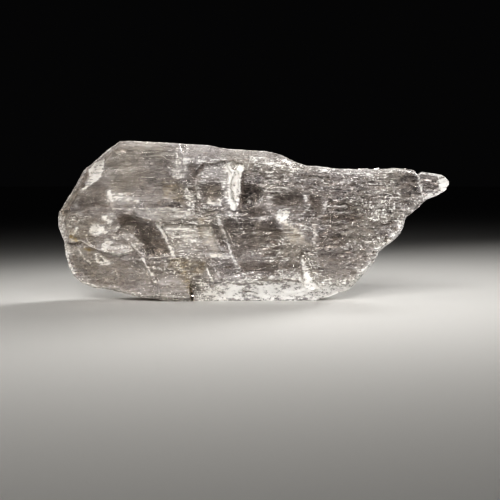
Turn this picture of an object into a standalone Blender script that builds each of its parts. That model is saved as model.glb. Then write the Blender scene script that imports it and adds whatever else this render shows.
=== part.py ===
"""Selenite crystal blade: one clear gypsum cleavage plate that stands on its long edge.

The plate lies in the XZ plane. +X runs along the crystal towards its pointed end, +Z is up,
and -Y is the broad face that is usually shown. The origin is under the middle of the plate,
on the surface that it stands on. Sizes are in millimetres until they become mesh points.
"""

import math
import random

import bmesh
import bpy
from mathutils import Matrix, Vector

MM = 0.001

# Driving dimensions of the plate
LENGTH = 130.3
HEIGHT = 53.1
THICKNESS = 18.0
HALF_THICKNESS = THICKNESS / 2

# How finely the plate is divided along its length
STATION_STEP = 2.6
CLOSEST_STATIONS = 1.1

# Upper edge of the plate: distance from the blunt end, and height above the surface
UPPER_EDGE = (
    (0.0, 27.5), (0.8, 30.3), (3.6, 34.2), (6.8, 38.8), (9.4, 43.7), (13.0, 46.9),
    (17.6, 50.5), (21.3, HEIGHT), (37.2, 52.4), (50.4, 51.6), (53.8, 50.8), (56.8, 50.4),
    (69.9, 49.6), (74.6, 48.3), (78.8, 46.1), (82.5, 44.9), (88.2, 44.6), (90.5, 44.0),
    (98.0, 43.7), (107.3, 43.7), (111.5, 44.1), (114.8, 43.9), (118.6, 43.3),
    (119.8, 42.4), (121.4, 42.8), (127.4, 41.9), (129.4, 40.8), (LENGTH, 39.6),
)

# Lower edge of the plate, with the long straight foot that it stands on
LOWER_EDGE = (
    (0.0, 24.8), (1.5, 19.7), (3.0, 15.5), (3.6, 12.5), (5.7, 8.2), (8.3, 5.9),
    (13.0, 4.0), (15.9, 3.8), (21.0, 2.7), (27.0, 1.2), (33.4, 0.5), (37.2, 0.0),
    (86.1, 0.0), (89.6, 1.6), (91.9, 2.7), (94.0, 2.9), (97.0, 5.5), (100.8, 9.3),
    (103.6, 12.3), (106.2, 15.8), (107.3, 17.0), (110.1, 19.1), (113.4, 22.6),
    (114.9, 25.4), (115.6, 27.6), (119.0, 30.8), (122.8, 33.6), (125.1, 34.5),
    (128.9, 36.9), (LENGTH, 38.4),
)

# Distance of each broad face from the middle plane. Both taper to the pointed end.
FRONT_FACE = (
    (0.0, 2.2), (4.2, 7.2), (24.0, HALF_THICKNESS), (70.0, HALF_THICKNESS),
    (104.0, 5.8), (129.0, 2.4), (LENGTH, 1.2),
)
BACK_FACE = (
    (0.0, 3.2), (5.0, 8.2), (17.0, HALF_THICKNESS), (56.0, HALF_THICKNESS),
    (90.0, 6.6), (129.0, 2.6), (LENGTH, 1.4),
)

# Height of the slanted faces between the broad faces and the two edges
UPPER_FRONT_SLANT = (
    (0.0, 0.5), (4.0, 4.2), (13.0, 4.6), (21.3, 1.6), (40.6, 1.3), (42.2, 4.4),
    (69.0, 4.1), (79.0, 3.2), (86.0, 1.6), (118.0, 1.2), (LENGTH, 0.4),
)
UPPER_BACK_SLANT = (
    (0.0, 0.5), (4.0, 3.4), (17.0, 5.2), (30.0, 2.2), (62.0, 2.0), (76.0, 5.0),
    (92.0, 2.4), (118.0, 1.6), (LENGTH, 0.4),
)
LOWER_FRONT_SLANT = (
    (0.0, 0.5), (3.6, 3.6), (10.0, 3.2), (21.0, 2.0), (43.8, 1.8), (45.4, 7.6),
    (80.0, 7.2), (88.0, 4.6), (97.0, 1.9), (118.0, 1.6), (LENGTH, 0.4),
)
LOWER_BACK_SLANT = (
    (0.0, 0.5), (3.6, 3.0), (14.0, 4.4), (37.2, 2.6), (60.0, 2.4), (74.0, 5.6),
    (90.0, 3.2), (104.0, 2.2), (LENGTH, 0.4),
)

# Most of the plate's height that one slanted face may take
MOST_SLANT = 0.42

# Where the slanted faces end: shares of the broad face's distance from the middle plane
UPPER_FRONT_RIDGE = (
    (0.0, 0.5), (13.0, 0.3), (24.0, 0.72), (40.6, 0.72), (44.0, 0.3), (86.0, 0.5),
)
UPPER_BACK_RIDGE = ((0.0, 0.5), (17.0, 0.42), (30.0, 0.7), (62.0, 0.7), (76.0, 0.4), (LENGTH, 0.5))
FOOT_FRONT = (
    (0.0, 0.5), (14.0, 0.4), (37.2, 0.66), (43.8, 0.7), (45.4, 0.62), (97.0, 0.5),
)
FOOT_BACK = ((0.0, 0.5), (14.0, 0.36), (37.2, 0.72), (88.0, 0.7), (104.0, 0.45), (LENGTH, 0.5))

# Cleavage ledges: name, corners along the broad face, and how far the ledge lies below it
FRONT_LEDGES = (
    ("window", ((22.9, 29.1), (29.2, 27.7), (34.6, 26.1), (39.9, 16.1), (36.6, 15.1),
                (29.2, 14.7), (24.6, 17.7), (19.9, 23.1)), 2.4),
    ("heel", ((-3.0, 19.0), (7.9, 20.1), (15.2, 16.7), (21.2, 15.7), (25.9, 17.4), (28.6, 14.1),
              (31.9, 6.4), (33.2, -3.0), (-3.0, -3.0)), 1.3),
    ("toe", ((29.9, 14.4), (40.6, 14.2), (42.6, 10.1), (43.9, 5.1), (44.9, -3.0), (34.4, -3.0),
             (33.4, 6.4)), 0.7),
    ("bubble", ((45.9, 42.7), (48.9, 46.1), (55.2, 46.4), (57.9, 42.7), (58.6, 31.7), (54.6, 30.1),
                (48.9, 30.7), (46.2, 36.1)), 1.6),
    ("pane", ((62.2, 43.6), (68.2, 42.7), (69.4, 33.4), (63.2, 30.1), (61.4, 33.6)), 1.2),
    ("shelf", ((34.9, 25.6), (41.0, 25.9), (55.6, 25.2), (60.6, 14.4), (40.4, 15.6)), 0.7),
    ("strip", ((81.6, 42.0), (90.6, 41.6), (90.6, 28.4), (87.9, 16.7), (84.9, 16.7), (81.2, 28.4),
               (83.6, 31.7)), 1.1),
    ("splinter", ((80.9, 18.6), (81.4, 4.0), (86.9, 3.6)), 1.2),
    ("tip", ((118.9, 48.0), (119.9, 40.1), (121.6, 29.0), (136.0, 29.0), (136.0, 48.0)), 0.9),
)
TERRACE_DEPTH = 1.1
TERRACE_FROM = 72.4
BACK_LEDGES = (
    ("shoulder", ((-3.0, 60.0), (26.0, 60.0), (24.2, 44.0), (17.8, 38.6), (6.0, 36.2), (-3.0, 38.0)), 1.8),
    ("bay", ((30.4, 34.8), (52.8, 33.6), (55.6, 21.8), (47.4, 17.9), (33.0, 19.0)), 1.6),
    ("terrace", ((58.2, 60.0), (61.0, 38.4), (66.6, 26.8), (69.8, 12.2), (TERRACE_FROM, -3.0),
                 (140.0, -3.0), (140.0, 60.0)), TERRACE_DEPTH),
    ("slip", ((84.4, 40.2), (101.2, 39.4), (104.6, 30.4), (92.6, 22.8), (86.2, 27.6)), 2.0),
    ("chip", ((14.6, 22.4), (24.4, 25.0), (29.0, 14.4), (22.8, 8.8), (15.6, 12.0)), 1.5),
)
WALL_LEAN = 0.35
BEYOND = 6.0

# Scoops broken or etched out of the plate: name, centre (x, y, z), radii (x, y, z) and turn about Y
SCOOPS = (
    ("shoulder_flake", (11.6, -12.4, 42.6), (5.4, 5.0, 9.6), 34.0),
    ("upper_eye", (14.8, -9.7, 24.3), (4.2, 1.4, 2.4), 4.0),
    ("lower_eye", (21.6, -9.5, 18.9), (7.4, 1.7, 2.9), -7.0),
    ("heel_arc", (15.6, -8.9, 13.4), (3.6, 1.5, 1.8), 38.0),
    ("brow", (18.6, -9.6, 27.6), (3.2, 1.2, 1.5), 12.0),
    ("fork_head", (59.0, -9.6, 44.6), (3.9, 1.9, 1.7), 6.0),
    ("fork_stem", (59.6, -9.2, 36.8), (1.5, 2.0, 7.4), -3.0),
    ("star", (74.3, -9.6, 28.2), (2.4, 1.6, 2.3), 0.0),
    ("star_tail", (77.4, -9.5, 23.6), (3.8, 1.0, 1.5), 48.0),
    ("notch_top", (41.4, -5.4, 53.9), (1.7, 3.4, 2.6), 0.0),
    ("foot_crack", (44.9, -6.6, 0.6), (0.9, 3.4, 6.0), 12.0),
    ("tip_notch", (119.9, -1.0, 44.2), (0.9, 5.0, 2.3), 20.0),
    ("pit_a", (109.0, -5.2, 20.4), (1.1, 1.2, 0.9), 40.0),
    ("pit_b", (111.4, -4.9, 23.8), (0.8, 1.0, 0.7), 40.0),
    ("pit_c", (104.8, -5.6, 15.9), (0.9, 1.1, 0.8), 30.0),
    ("rim_bite_a", (3.2, -7.2, 17.4), (2.4, 3.2, 3.4), 0.0),
    ("rim_bite_b", (7.6, -8.6, 8.6), (3.2, 3.0, 2.2), -40.0),
    ("rim_bite_c", (64.0, -8.6, 51.6), (6.0, 3.0, 2.6), 2.0),
    ("rim_bite_d", (98.6, -7.2, 44.8), (6.4, 2.6, 1.5), 0.0),
    ("rim_bite_e", (101.0, -6.8, 8.2), (3.6, 2.4, 1.7), -45.0),
    ("rear_bite_a", (10.4, 8.8, 46.6), (5.0, 3.6, 3.4), -48.0),
    ("rear_bite_b", (33.0, 9.4, 1.4), (7.0, 2.6, 2.4), 4.0),
    ("rear_bite_c", (79.6, 8.2, 47.2), (5.6, 3.0, 2.6), 24.0),
    ("rear_bite_d", (107.0, 6.2, 16.4), (4.6, 2.6, 2.4), -48.0),
    ("rear_bite_e", (1.8, 6.4, 28.4), (2.6, 3.4, 4.4), 0.0),
    ("rear_eye", (43.0, 9.5, 42.2), (6.4, 1.5, 2.6), -5.0),
)

# Laths split out along the cleavage: narrow sloping steps that all run along the crystal
FRONT_LATHS = 48
BACK_LATHS = 26
TERRACE_LATHS = 22
LATH_LENGTHS = (8.0, 27.0)
LATH_HEIGHTS = (1.0, 2.7)
LATH_DEPTHS = (0.28, 0.75)
LATH_FEATHER = 0.06
LATH_SLOPE = 0.03
LATH_SHOULDERS = (0.45, 0.85)
LATH_CLEAR_OF_EDGE = 3.4
LATH_REACH = (9.0, 121.0)
LATH_SEED = 11

# Flat-faced slabs that broke off the rim: name, a point on the break, and the way the break faces
CLIPS = (
    ("blunt_top", (10.2, -7.6, 45.2), (-0.62, -0.52, 0.58), 5.0),
    ("blunt_foot", (6.2, -7.4, 8.4), (-0.60, -0.60, -0.53), 4.0),
    ("blunt_rear", (2.4, 6.8, 22.0), (-0.80, 0.58, -0.12), 6.0),
)


def along(keys, x):
    """The value at x of a line through the (x, value) keys, kept level past both ends."""
    if x <= keys[0][0]:
        return keys[0][1]
    for (x0, value0), (x1, value1) in zip(keys, keys[1:]):
        if x <= x1:
            return value0 + (value1 - value0) * (x - x0) / (x1 - x0)
    return keys[-1][1]


def stations():
    """Distances from the blunt end at which the plate's cross-section is drawn."""
    corners = {x for keys in (UPPER_EDGE, LOWER_EDGE) for x, _ in keys}
    corners |= {x for keys in (FRONT_FACE, UPPER_FRONT_SLANT, LOWER_FRONT_SLANT) for x, _ in keys}
    found = [0.0]
    for x in sorted(corners):
        if LENGTH - CLOSEST_STATIONS > x > found[-1] + CLOSEST_STATIONS:
            gap = x - found[-1]
            parts = max(1, round(gap / STATION_STEP))
            found += [found[-1] + gap * (i + 1) / parts for i in range(parts)]
    return found + [LENGTH]


def place(x, y, z):
    """A point given from the blunt end, in the part's own frame and in metres."""
    return Vector((x - LENGTH / 2, y, z)) * MM


def section(x):
    """Corners of the cross-section at x, from the foot up the front face and down the back."""
    low, high = along(LOWER_EDGE, x), along(UPPER_EDGE, x)
    front, back = along(FRONT_FACE, x), along(BACK_FACE, x)
    room = MOST_SLANT * (high - low)
    front_low = low + min(room, along(LOWER_FRONT_SLANT, x))
    front_high = high - min(room, along(UPPER_FRONT_SLANT, x))
    back_low = low + min(room, along(LOWER_BACK_SLANT, x))
    back_high = high - min(room, along(UPPER_BACK_SLANT, x))
    corners = (
        (-front * along(FOOT_FRONT, x), low),
        (-front, front_low),
        (-front, front_high),
        (-front * along(UPPER_FRONT_RIDGE, x), high),
        (back * along(UPPER_BACK_RIDGE, x), high),
        (back, back_high),
        (back, back_low),
        (back * along(FOOT_BACK, x), low),
    )
    return [place(x, y, z) for y, z in corners]


def new_object(name, bm):
    """Moves a bmesh into a new object of that name."""
    mesh = bpy.data.meshes.new(name)
    bm.to_mesh(mesh)
    bm.free()
    obj = bpy.data.objects.new(name, mesh)
    bpy.context.scene.collection.objects.link(obj)
    return obj


def plate():
    """The plate before anything breaks off it: sections joined from station to station."""
    bm = bmesh.new()
    rings = [[bm.verts.new(point) for point in section(x)] for x in stations()]
    for ring, following in zip(rings, rings[1:]):
        for i in range(len(ring)):
            j = (i + 1) % len(ring)
            bm.faces.new((ring[i], ring[j], following[j], following[i]))
    bm.faces.new(rings[0])
    bm.faces.new(rings[-1])
    bmesh.ops.triangulate(bm, faces=bm.faces[:])
    bmesh.ops.recalc_face_normals(bm, faces=bm.faces[:])
    return new_object("selenite_blade", bm)


def as_cutter(obj):
    """Marks a helper that only shapes the plate."""
    obj.hide_render = True
    obj.display_type = "WIRE"
    return obj


def layer_cutter(name, corners, depths, face_keys, side):
    """The layers missing from a broad face, down to a depth at each corner of their outline.

    The walls lean outwards. side is -1 for the front face and 1 for the back one.
    """
    middle = sum((Vector(corner) for corner in corners), Vector((0, 0))) / len(corners)
    bm = bmesh.new()
    floor, mouth = [], []
    for corner, depth in zip(map(Vector, corners), depths):
        inward = (middle - corner).normalized() * WALL_LEAN
        on_floor = corner + inward
        floor_y = side * (along(face_keys, on_floor.x) - depth)
        floor.append(bm.verts.new(place(on_floor.x, floor_y, on_floor.y)))
        on_mouth = corner - inward
        mouth.append(bm.verts.new(place(on_mouth.x, side * (HALF_THICKNESS + BEYOND), on_mouth.y)))
    bm.faces.new(floor)
    bm.faces.new(mouth)
    for i in range(len(floor)):
        j = (i + 1) % len(floor)
        bm.faces.new((floor[i], floor[j], mouth[j], mouth[i]))
    bmesh.ops.triangulate(bm, faces=bm.faces[:])
    bmesh.ops.recalc_face_normals(bm, faces=bm.faces[:])
    return as_cutter(new_object("cut_" + name, bm))


def ledge_cutters(ledges, where, face_keys, side):
    """The level-floored ledges of one broad face."""
    return [layer_cutter(f"{where}_{name}", corners, [depth] * len(corners), face_keys, side)
            for name, corners, depth in ledges]


def lowered(face_keys, depth):
    """A broad face's keys moved towards the middle plane."""
    return tuple((x, distance - depth) for x, distance in face_keys)


def lath_cutters(where, count, reach, face_keys, side, chance):
    """Narrow pointed steps along a stretch of one broad face, each deepest along its lower edge."""
    cutters = []
    while len(cutters) < count:
        x = chance.uniform(*reach)
        z = chance.uniform(0.0, HEIGHT)
        half_length = chance.uniform(*LATH_LENGTHS) / 2
        half_height = chance.uniform(*LATH_HEIGHTS) / 2
        depth = chance.uniform(*LATH_DEPTHS)
        ends = (x - half_length, x + half_length)
        if any(z - along(LOWER_EDGE, end) < LATH_CLEAR_OF_EDGE for end in ends):
            continue
        if any(along(UPPER_EDGE, end) - z < LATH_CLEAR_OF_EDGE for end in ends):
            continue
        rise = chance.uniform(-LATH_SLOPE, LATH_SLOPE) * half_length
        shoulder = half_length * chance.uniform(*LATH_SHOULDERS)
        corners = (
            (x - half_length, z - rise), (x - shoulder, z - rise + half_height),
            (x + shoulder, z + rise + half_height), (x + half_length, z + rise),
            (x + shoulder, z + rise - half_height), (x - shoulder, z - rise - half_height),
        )
        depths = (LATH_FEATHER, LATH_FEATHER, LATH_FEATHER, LATH_FEATHER, depth, depth)
        name = f"{where}_lath_{len(cutters):02d}"
        cutters.append(layer_cutter(name, corners, depths, face_keys, side))
    return cutters


def scoop_cutter(name, centre, radii, turn_deg):
    """A faceted lens that leaves a shell-shaped hollow."""
    bm = bmesh.new()
    bmesh.ops.create_icosphere(bm, subdivisions=2, radius=1.0)
    size = Matrix.Diagonal(Vector(radii) * MM).to_4x4()
    turn = Matrix.Rotation(math.radians(turn_deg), 4, "Y")
    bm.transform(Matrix.Translation(place(*centre)) @ turn @ size)
    return as_cutter(new_object("cut_scoop_" + name, bm))


def clip_cutter(name, point, facing, reach):
    """A block whose one flat face is the break: what lies beyond it is gone."""
    bm = bmesh.new()
    bmesh.ops.create_cube(bm, size=2.0)
    size = Matrix.Diagonal(Vector((3 * reach, 3 * reach, reach)) * MM).to_4x4()
    turn = Vector(facing).to_track_quat("Z", "Y").to_matrix().to_4x4()
    centre = place(*point) + Vector(facing).normalized() * reach * MM
    bm.transform(Matrix.Translation(centre) @ turn @ size)
    return as_cutter(new_object("cut_clip_" + name, bm))


def cut_all(obj, cutters):
    """Takes the shapes of all the cutters out of the object at once."""
    group = bpy.data.collections.new("cutters")
    for cutter in cutters:
        group.objects.link(cutter)
    modifier = obj.modifiers.new("breaks_and_ledges", "BOOLEAN")
    modifier.operation = "DIFFERENCE"
    modifier.solver = "EXACT"
    modifier.operand_type = "COLLECTION"
    modifier.collection = group


def clear_gypsum():
    """Colourless gypsum with a faint smoky warmth."""
    material = bpy.data.materials.new("clear_gypsum")
    material.use_nodes = True
    shader = material.node_tree.nodes["Principled BSDF"]
    shader.inputs["Base Color"].default_value = (0.86, 0.83, 0.79, 1.0)
    shader.inputs["Roughness"].default_value = 0.12
    shader.inputs["Metallic"].default_value = 0.0
    shader.inputs["IOR"].default_value = 1.525
    shader.inputs["Transmission Weight"].default_value = 0.9
    return material


def main():
    for obj in list(bpy.data.objects):
        bpy.data.objects.remove(obj)
    blade = plate()
    chance = random.Random(LATH_SEED)
    cutters = ledge_cutters(FRONT_LEDGES, "front", FRONT_FACE, -1)
    cutters += ledge_cutters(BACK_LEDGES, "back", BACK_FACE, 1)
    cutters += lath_cutters("front", FRONT_LATHS, LATH_REACH, FRONT_FACE, -1, chance)
    cutters += lath_cutters("back", BACK_LATHS, (LATH_REACH[0], TERRACE_FROM), BACK_FACE, 1, chance)
    terrace = lowered(BACK_FACE, TERRACE_DEPTH)
    cutters += lath_cutters("terrace", TERRACE_LATHS, (TERRACE_FROM, LATH_REACH[1]), terrace, 1, chance)
    cutters += [clip_cutter(*clip) for clip in CLIPS]
    cutters += [scoop_cutter(*scoop) for scoop in SCOOPS]
    cut_all(blade, cutters)
    blade.data.materials.append(clear_gypsum())


main()
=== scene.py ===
import math
import random

import bpy
import numpy
from mathutils import Matrix, Vector, noise
from mathutils.bvhtree import BVHTree


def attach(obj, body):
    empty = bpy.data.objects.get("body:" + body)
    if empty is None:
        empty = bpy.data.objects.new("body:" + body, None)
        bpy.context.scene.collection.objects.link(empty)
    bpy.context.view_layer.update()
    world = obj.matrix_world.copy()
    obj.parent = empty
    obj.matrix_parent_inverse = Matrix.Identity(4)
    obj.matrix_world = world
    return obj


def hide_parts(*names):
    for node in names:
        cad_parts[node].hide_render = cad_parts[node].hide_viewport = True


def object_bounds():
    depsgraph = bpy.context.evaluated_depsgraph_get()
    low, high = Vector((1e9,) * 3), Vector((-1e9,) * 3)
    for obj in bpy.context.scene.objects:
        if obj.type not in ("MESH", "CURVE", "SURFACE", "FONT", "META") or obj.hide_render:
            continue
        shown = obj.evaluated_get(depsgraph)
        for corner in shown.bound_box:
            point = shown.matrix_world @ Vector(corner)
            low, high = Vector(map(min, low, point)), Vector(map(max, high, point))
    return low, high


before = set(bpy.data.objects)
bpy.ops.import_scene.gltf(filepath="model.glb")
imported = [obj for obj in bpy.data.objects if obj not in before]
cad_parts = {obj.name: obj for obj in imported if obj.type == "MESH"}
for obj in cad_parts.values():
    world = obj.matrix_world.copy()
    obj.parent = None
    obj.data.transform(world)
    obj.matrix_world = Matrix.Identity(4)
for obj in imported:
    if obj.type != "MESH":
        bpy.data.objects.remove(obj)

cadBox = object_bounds()
mm = 0.001
bluntEnd = cadBox[0].x


# Places on the crystal are given in millimetres: from the blunt end, towards the back, and up

def at(x, y, z):
    return Vector((bluntEnd + x * mm, y * mm, z * mm))


def pickOnly(piece):
    bpy.ops.object.select_all(action="DESELECT")
    piece.select_set(True)
    bpy.context.view_layer.objects.active = piece


def emptyPiece(name):
    piece = bpy.data.objects.new(name, bpy.data.meshes.new(name))
    bpy.context.scene.collection.objects.link(piece)
    pickOnly(piece)
    return piece


# Small helpers for node materials

def newMaterial(name):
    material = bpy.data.materials.new(name)
    material.use_nodes = True
    material.node_tree.nodes.clear()
    return material, material.node_tree.nodes, material.node_tree.links


def feed(links, target, value):
    if isinstance(value, bpy.types.NodeSocket):
        links.new(value, target)
    else:
        target.default_value = value


def stretchedPosition(nodes, links, perMetre, offset):
    place = nodes.new("ShaderNodeTexCoord")
    mapping = nodes.new("ShaderNodeMapping")
    mapping.inputs["Scale"].default_value = perMetre
    mapping.inputs["Location"].default_value = offset
    links.new(place.outputs["Object"], mapping.inputs["Vector"])
    return mapping.outputs["Vector"]


def noiseField(nodes, links, position, detail, rough):
    field = nodes.new("ShaderNodeTexNoise")
    links.new(position, field.inputs["Vector"])
    field.inputs["Scale"].default_value = 1.0
    field.inputs["Detail"].default_value = detail
    field.inputs["Roughness"].default_value = rough
    return field.outputs["Fac"]


def ranged(nodes, links, value, fromLow, fromHigh, toLow=0.0, toHigh=1.0):
    spread = nodes.new("ShaderNodeMapRange")
    feed(links, spread.inputs["Value"], value)
    spread.inputs["From Min"].default_value = fromLow
    spread.inputs["From Max"].default_value = fromHigh
    spread.inputs["To Min"].default_value = toLow
    spread.inputs["To Max"].default_value = toHigh
    return spread.outputs["Result"]


def maths(nodes, links, operation, first, second=0.0, clamp=False):
    step = nodes.new("ShaderNodeMath")
    step.operation = operation
    step.use_clamp = clamp
    feed(links, step.inputs[0], first)
    feed(links, step.inputs[1], second)
    return step.outputs["Value"]


def blended(nodes, links, share, first, second):
    mix = nodes.new("ShaderNodeMix")
    mix.data_type = "RGBA"
    feed(links, mix.inputs["Factor"], share)
    feed(links, mix.inputs["A"], first)
    feed(links, mix.inputs["B"], second)
    return mix.outputs["Result"]


def vertexValue(nodes, name):
    value = nodes.new("ShaderNodeAttribute")
    value.attribute_name = name
    return value.outputs["Fac"]


# Camera, floor and light

stageSettings = {
    "lens": 85.0,
    "sensorWidth": 36.0,
    "clip": (0.01, 20.0),
    "distance": 0.396,
    "elevation": 4.0,
    "aimAt": (-0.0013, 0.0, 0.0166),
    "floorRadius": 2.4,
    "floorSides": 96,
    "floorColour": (0.62, 0.615, 0.605, 1.0),
    "floorRoughness": 0.7,
    "worldColour": (0.020, 0.020, 0.021, 1.0),
    "lampColour": (1.0, 0.985, 0.96),
    "viewTransform": "Standard",
    "look": "Very High Contrast",
    "exposure": -1.27,
    # place, what it points at, size, watts and spread of each soft box
    "softBoxes": {
        "front": ((0.0, -0.48, 0.28), (0.0, 0.0, 0.03), (0.50, 0.16), 0.15, 26),
        "key": ((-0.17, -0.50, 0.34), (0.0, -0.08, 0.02), (0.34, 0.34), 0.34, 40),
        "fill": ((0.42, -0.42, 0.26), (0.0, -0.08, 0.02), (0.30, 0.30), 0.04, 40),
        "left": ((-0.50, -0.10, 0.25), (-0.03, 0.0, 0.03), (0.22, 0.22), 0.03, 30),
        "top": ((0.0, 0.02, 0.50), (0.0, -0.01, 0.0), (0.50, 0.30), 0.05, 40),
        "sparkle": ((0.16, -0.40, 0.38), (0.0, 0.0, 0.03), (0.06, 0.06), 0.02, 26),
        "backTop": ((0.0, 0.24, 0.42), (0.0, 0.02, 0.01), (0.34, 0.20), 0.02, 30),
        "backRight": ((0.38, 0.38, 0.22), (0.0, -0.02, 0.03), (0.24, 0.24), 0.26, 26),
        "backHigh": ((0.20, 0.34, 0.40), (0.0, 0.0, 0.02), (0.30, 0.24), 0.09, 28),
    },
}


def makeCamera():
    settings = stageSettings
    data = bpy.data.cameras.new("camera")
    data.lens = settings["lens"]
    data.sensor_width = settings["sensorWidth"]
    data.clip_start, data.clip_end = settings["clip"]
    camera = bpy.data.objects.new("camera", data)
    bpy.context.scene.collection.objects.link(camera)
    lift = math.radians(settings["elevation"])
    target = Vector(settings["aimAt"])
    back = Vector((0.0, -math.cos(lift), math.sin(lift)))
    camera.location = target + back * settings["distance"]
    camera.rotation_euler = (-back).to_track_quat("-Z", "Y").to_euler()
    bpy.context.scene.camera = camera
    print("camera set")


def softBox(name, place, aim, size, watts, spread):
    data = bpy.data.lights.new(name, "AREA")
    data.shape = "RECTANGLE"
    data.size, data.size_y = size
    data.energy = watts
    data.color = stageSettings["lampColour"]
    data.spread = math.radians(spread)
    lamp = bpy.data.objects.new(name, data)
    bpy.context.scene.collection.objects.link(lamp)
    lamp.location = place
    lamp.rotation_euler = (Vector(aim) - Vector(place)).to_track_quat("-Z", "Y").to_euler()


def makeStage():
    settings = stageSettings
    paleFloor, nodes, links = newMaterial("pale_floor")
    shader = nodes.new("ShaderNodeBsdfPrincipled")
    output = nodes.new("ShaderNodeOutputMaterial")
    links.new(shader.outputs["BSDF"], output.inputs["Surface"])
    shader.inputs["Base Color"].default_value = settings["floorColour"]
    shader.inputs["Roughness"].default_value = settings["floorRoughness"]
    bpy.ops.object.select_all(action="DESELECT")
    bpy.ops.mesh.primitive_circle_add(
        vertices=settings["floorSides"], radius=settings["floorRadius"], fill_type="NGON")
    floor = bpy.context.active_object
    floor.name = "floor"
    floor.data.materials.append(paleFloor)
    world = bpy.data.worlds.new("dim_room")
    bpy.context.scene.world = world
    world.use_nodes = True
    world.node_tree.nodes["Background"].inputs["Color"].default_value = settings["worldColour"]
    world.node_tree.nodes["Background"].inputs["Strength"].default_value = 1.0
    for name, (place, aim, size, watts, spread) in settings["softBoxes"].items():
        softBox(name, place, aim, size, watts, spread)
    bpy.context.scene.view_settings.view_transform = settings["viewTransform"]
    bpy.context.scene.view_settings.look = settings["look"]
    bpy.context.scene.view_settings.exposure = settings["exposure"]
    print("stage set")


makeCamera()
makeStage()


# The crystal itself

crystalSettings = {
    "node": "selenite_blade",
    "mergeWithin": 0.000002,
    "remeshDepth": 9,
    "remeshScale": 0.60,
    # lengths are in mm, and a pair says where something begins and where it is in full
    "foot": (0.25, 1.5),
    "broadNormals": (0.35, 0.8),
    "warp": {"length": 7.0, "height": 3.4, "through": 9.0, "along": 1.0, "up": 0.55,
             "fine": 0.28, "fineLength": 1.9, "fineHeight": 1.3, "inset": (0.6, 3.2)},
    "plates": {"length": 15.0, "height": 4.2, "seed": (0.0, 3.1), "steps": 8, "depth": 0.42,
               "ragged": 0.5, "raggedLength": 2.6, "raggedHeight": 0.8, "raggedSeed": 7.3},
    "laths": {"length": 6.0, "height": 0.95, "seed": (20.0, 5.7), "steps": 5, "depth": 0.16},
    "treadSlope": 0.22,
    "grain": {"length": 1.6, "height": 0.75, "seed": (40.0, 1.0), "depth": 0.10},
    "rim": {"chip": 2.4, "depth": 0.22},
    # how broken the surface is, from 0 to 1, and where that changes along the crystal and up it
    "lively": {"least": 0.35, "left": 0.45, "calmAlong": (30.0, 48.0), "calmUp": (18.0, 30.0),
               "rightAlong": (50.0, 68.0)},
    # how far the two ends' edges bulge or dip from the plain outline, at their heights
    "eastEdge": ((1.0, 1.2), (2.7, 1.9), (4.4, 2.0), (7.7, 1.7), (11.0, 1.5), (12.7, 1.4), (14.4, 1.0),
                 (16.1, 0.3), (17.7, 0.2), (19.4, 0.7), (21.1, 1.0), (22.7, 0.8), (24.4, 0.7), (26.1, 0.0),
                 (27.7, -0.5), (29.4, 0.6), (31.1, 0.9), (32.7, 0.0), (34.4, 0.4), (36.1, 0.9), (37.5, 0.0)),
    "westEdge": ((4.0, -0.6), (8.0, -0.6), (12.0, -0.7), (15.4, -0.7), (17.4, -0.3), (19.4, 0.3),
                 (21.4, 0.0), (25.4, -0.3), (29.4, -0.7), (31.4, 0.0), (33.4, -0.4), (39.4, -0.4),
                 (43.4, -0.7), (45.4, 0.0), (47.4, 0.0), (49.4, -0.4), (51.4, -0.3)),
    "eastFrom": 86.0,
    "westTo": 30.0,
    "edgeInset": (0.5, 5.0),
    # the crack at the foot leans and is narrow. Its line: height, where it lies, how far it moves along
    "footCrack": {
        "line": ((0.0, 45.0, -0.1), (2.0, 45.5, -0.9), (3.5, 45.7, -1.5), (5.0, 46.2, -2.4),
                 (7.0, 46.8, -2.6)),
        "heights": (5.0, 9.0),
        "depths": (0.5, 2.5),
        "moving": (1.2, 6.5),
        "closing": (0.8, 3.8),
        "narrowing": 0.62,
    },
    # the notch in the upper edge where the tip begins
    "neckNotch": {"along": 119.9, "halfWidth": 0.9, "depth": 0.45, "inset": (0.3, 3.0), "above": 40.0},
    # how the rear ledges lean: mm along for each mm above the middle
    "rearSlant": {"slope": 0.30, "middle": 26.5, "inset": (2.0, 9.0), "depths": (0.0, 2.0)},
    "smoothAngle": 24,
    # the crystal's outline: distance from the blunt end, and height
    "outline": (
        (0.0, 27.5), (0.8, 30.3), (3.6, 34.2), (6.8, 38.8), (9.4, 43.7), (13.0, 46.9), (17.6, 50.5),
        (21.3, 53.1), (37.2, 52.4), (50.4, 51.6), (56.8, 50.4), (69.9, 49.6), (74.6, 48.3), (78.8, 46.1),
        (82.5, 44.9), (88.2, 44.6), (98.0, 43.7), (111.5, 44.1), (118.6, 43.3), (119.8, 42.4),
        (127.4, 41.9), (130.3, 39.2), (128.9, 36.9), (122.8, 33.6), (119.0, 30.8), (115.6, 27.6),
        (113.4, 22.6), (110.1, 19.1), (106.2, 15.8), (103.6, 12.3), (97.0, 5.5), (94.0, 2.9), (89.6, 1.6),
        (86.1, 0.0), (37.2, 0.0), (33.4, 0.5), (27.0, 1.2), (15.9, 3.8), (8.3, 5.9), (5.7, 8.2),
        (3.6, 12.5), (1.5, 19.7), (0.0, 24.8),
    ),
}


def distanceInside(points, corners):
    # how far inside the outline each point is, and less than nothing outside it
    corners = numpy.array(corners)
    nearest = numpy.full(len(points), 1e9)
    inside = numpy.zeros(len(points), bool)
    for first, second in zip(corners, numpy.roll(corners, -1, axis=0)):
        nearest = numpy.minimum(nearest, distanceToLine(points, first, second))
        crosses = (first[1] > points[:, 1]) != (second[1] > points[:, 1])
        slope = (second[0] - first[0]) / (second[1] - first[1] or 1e-9)
        inside ^= crosses & (points[:, 0] < first[0] + (points[:, 1] - first[1]) * slope)
    return numpy.where(inside, nearest, -nearest)


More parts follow.
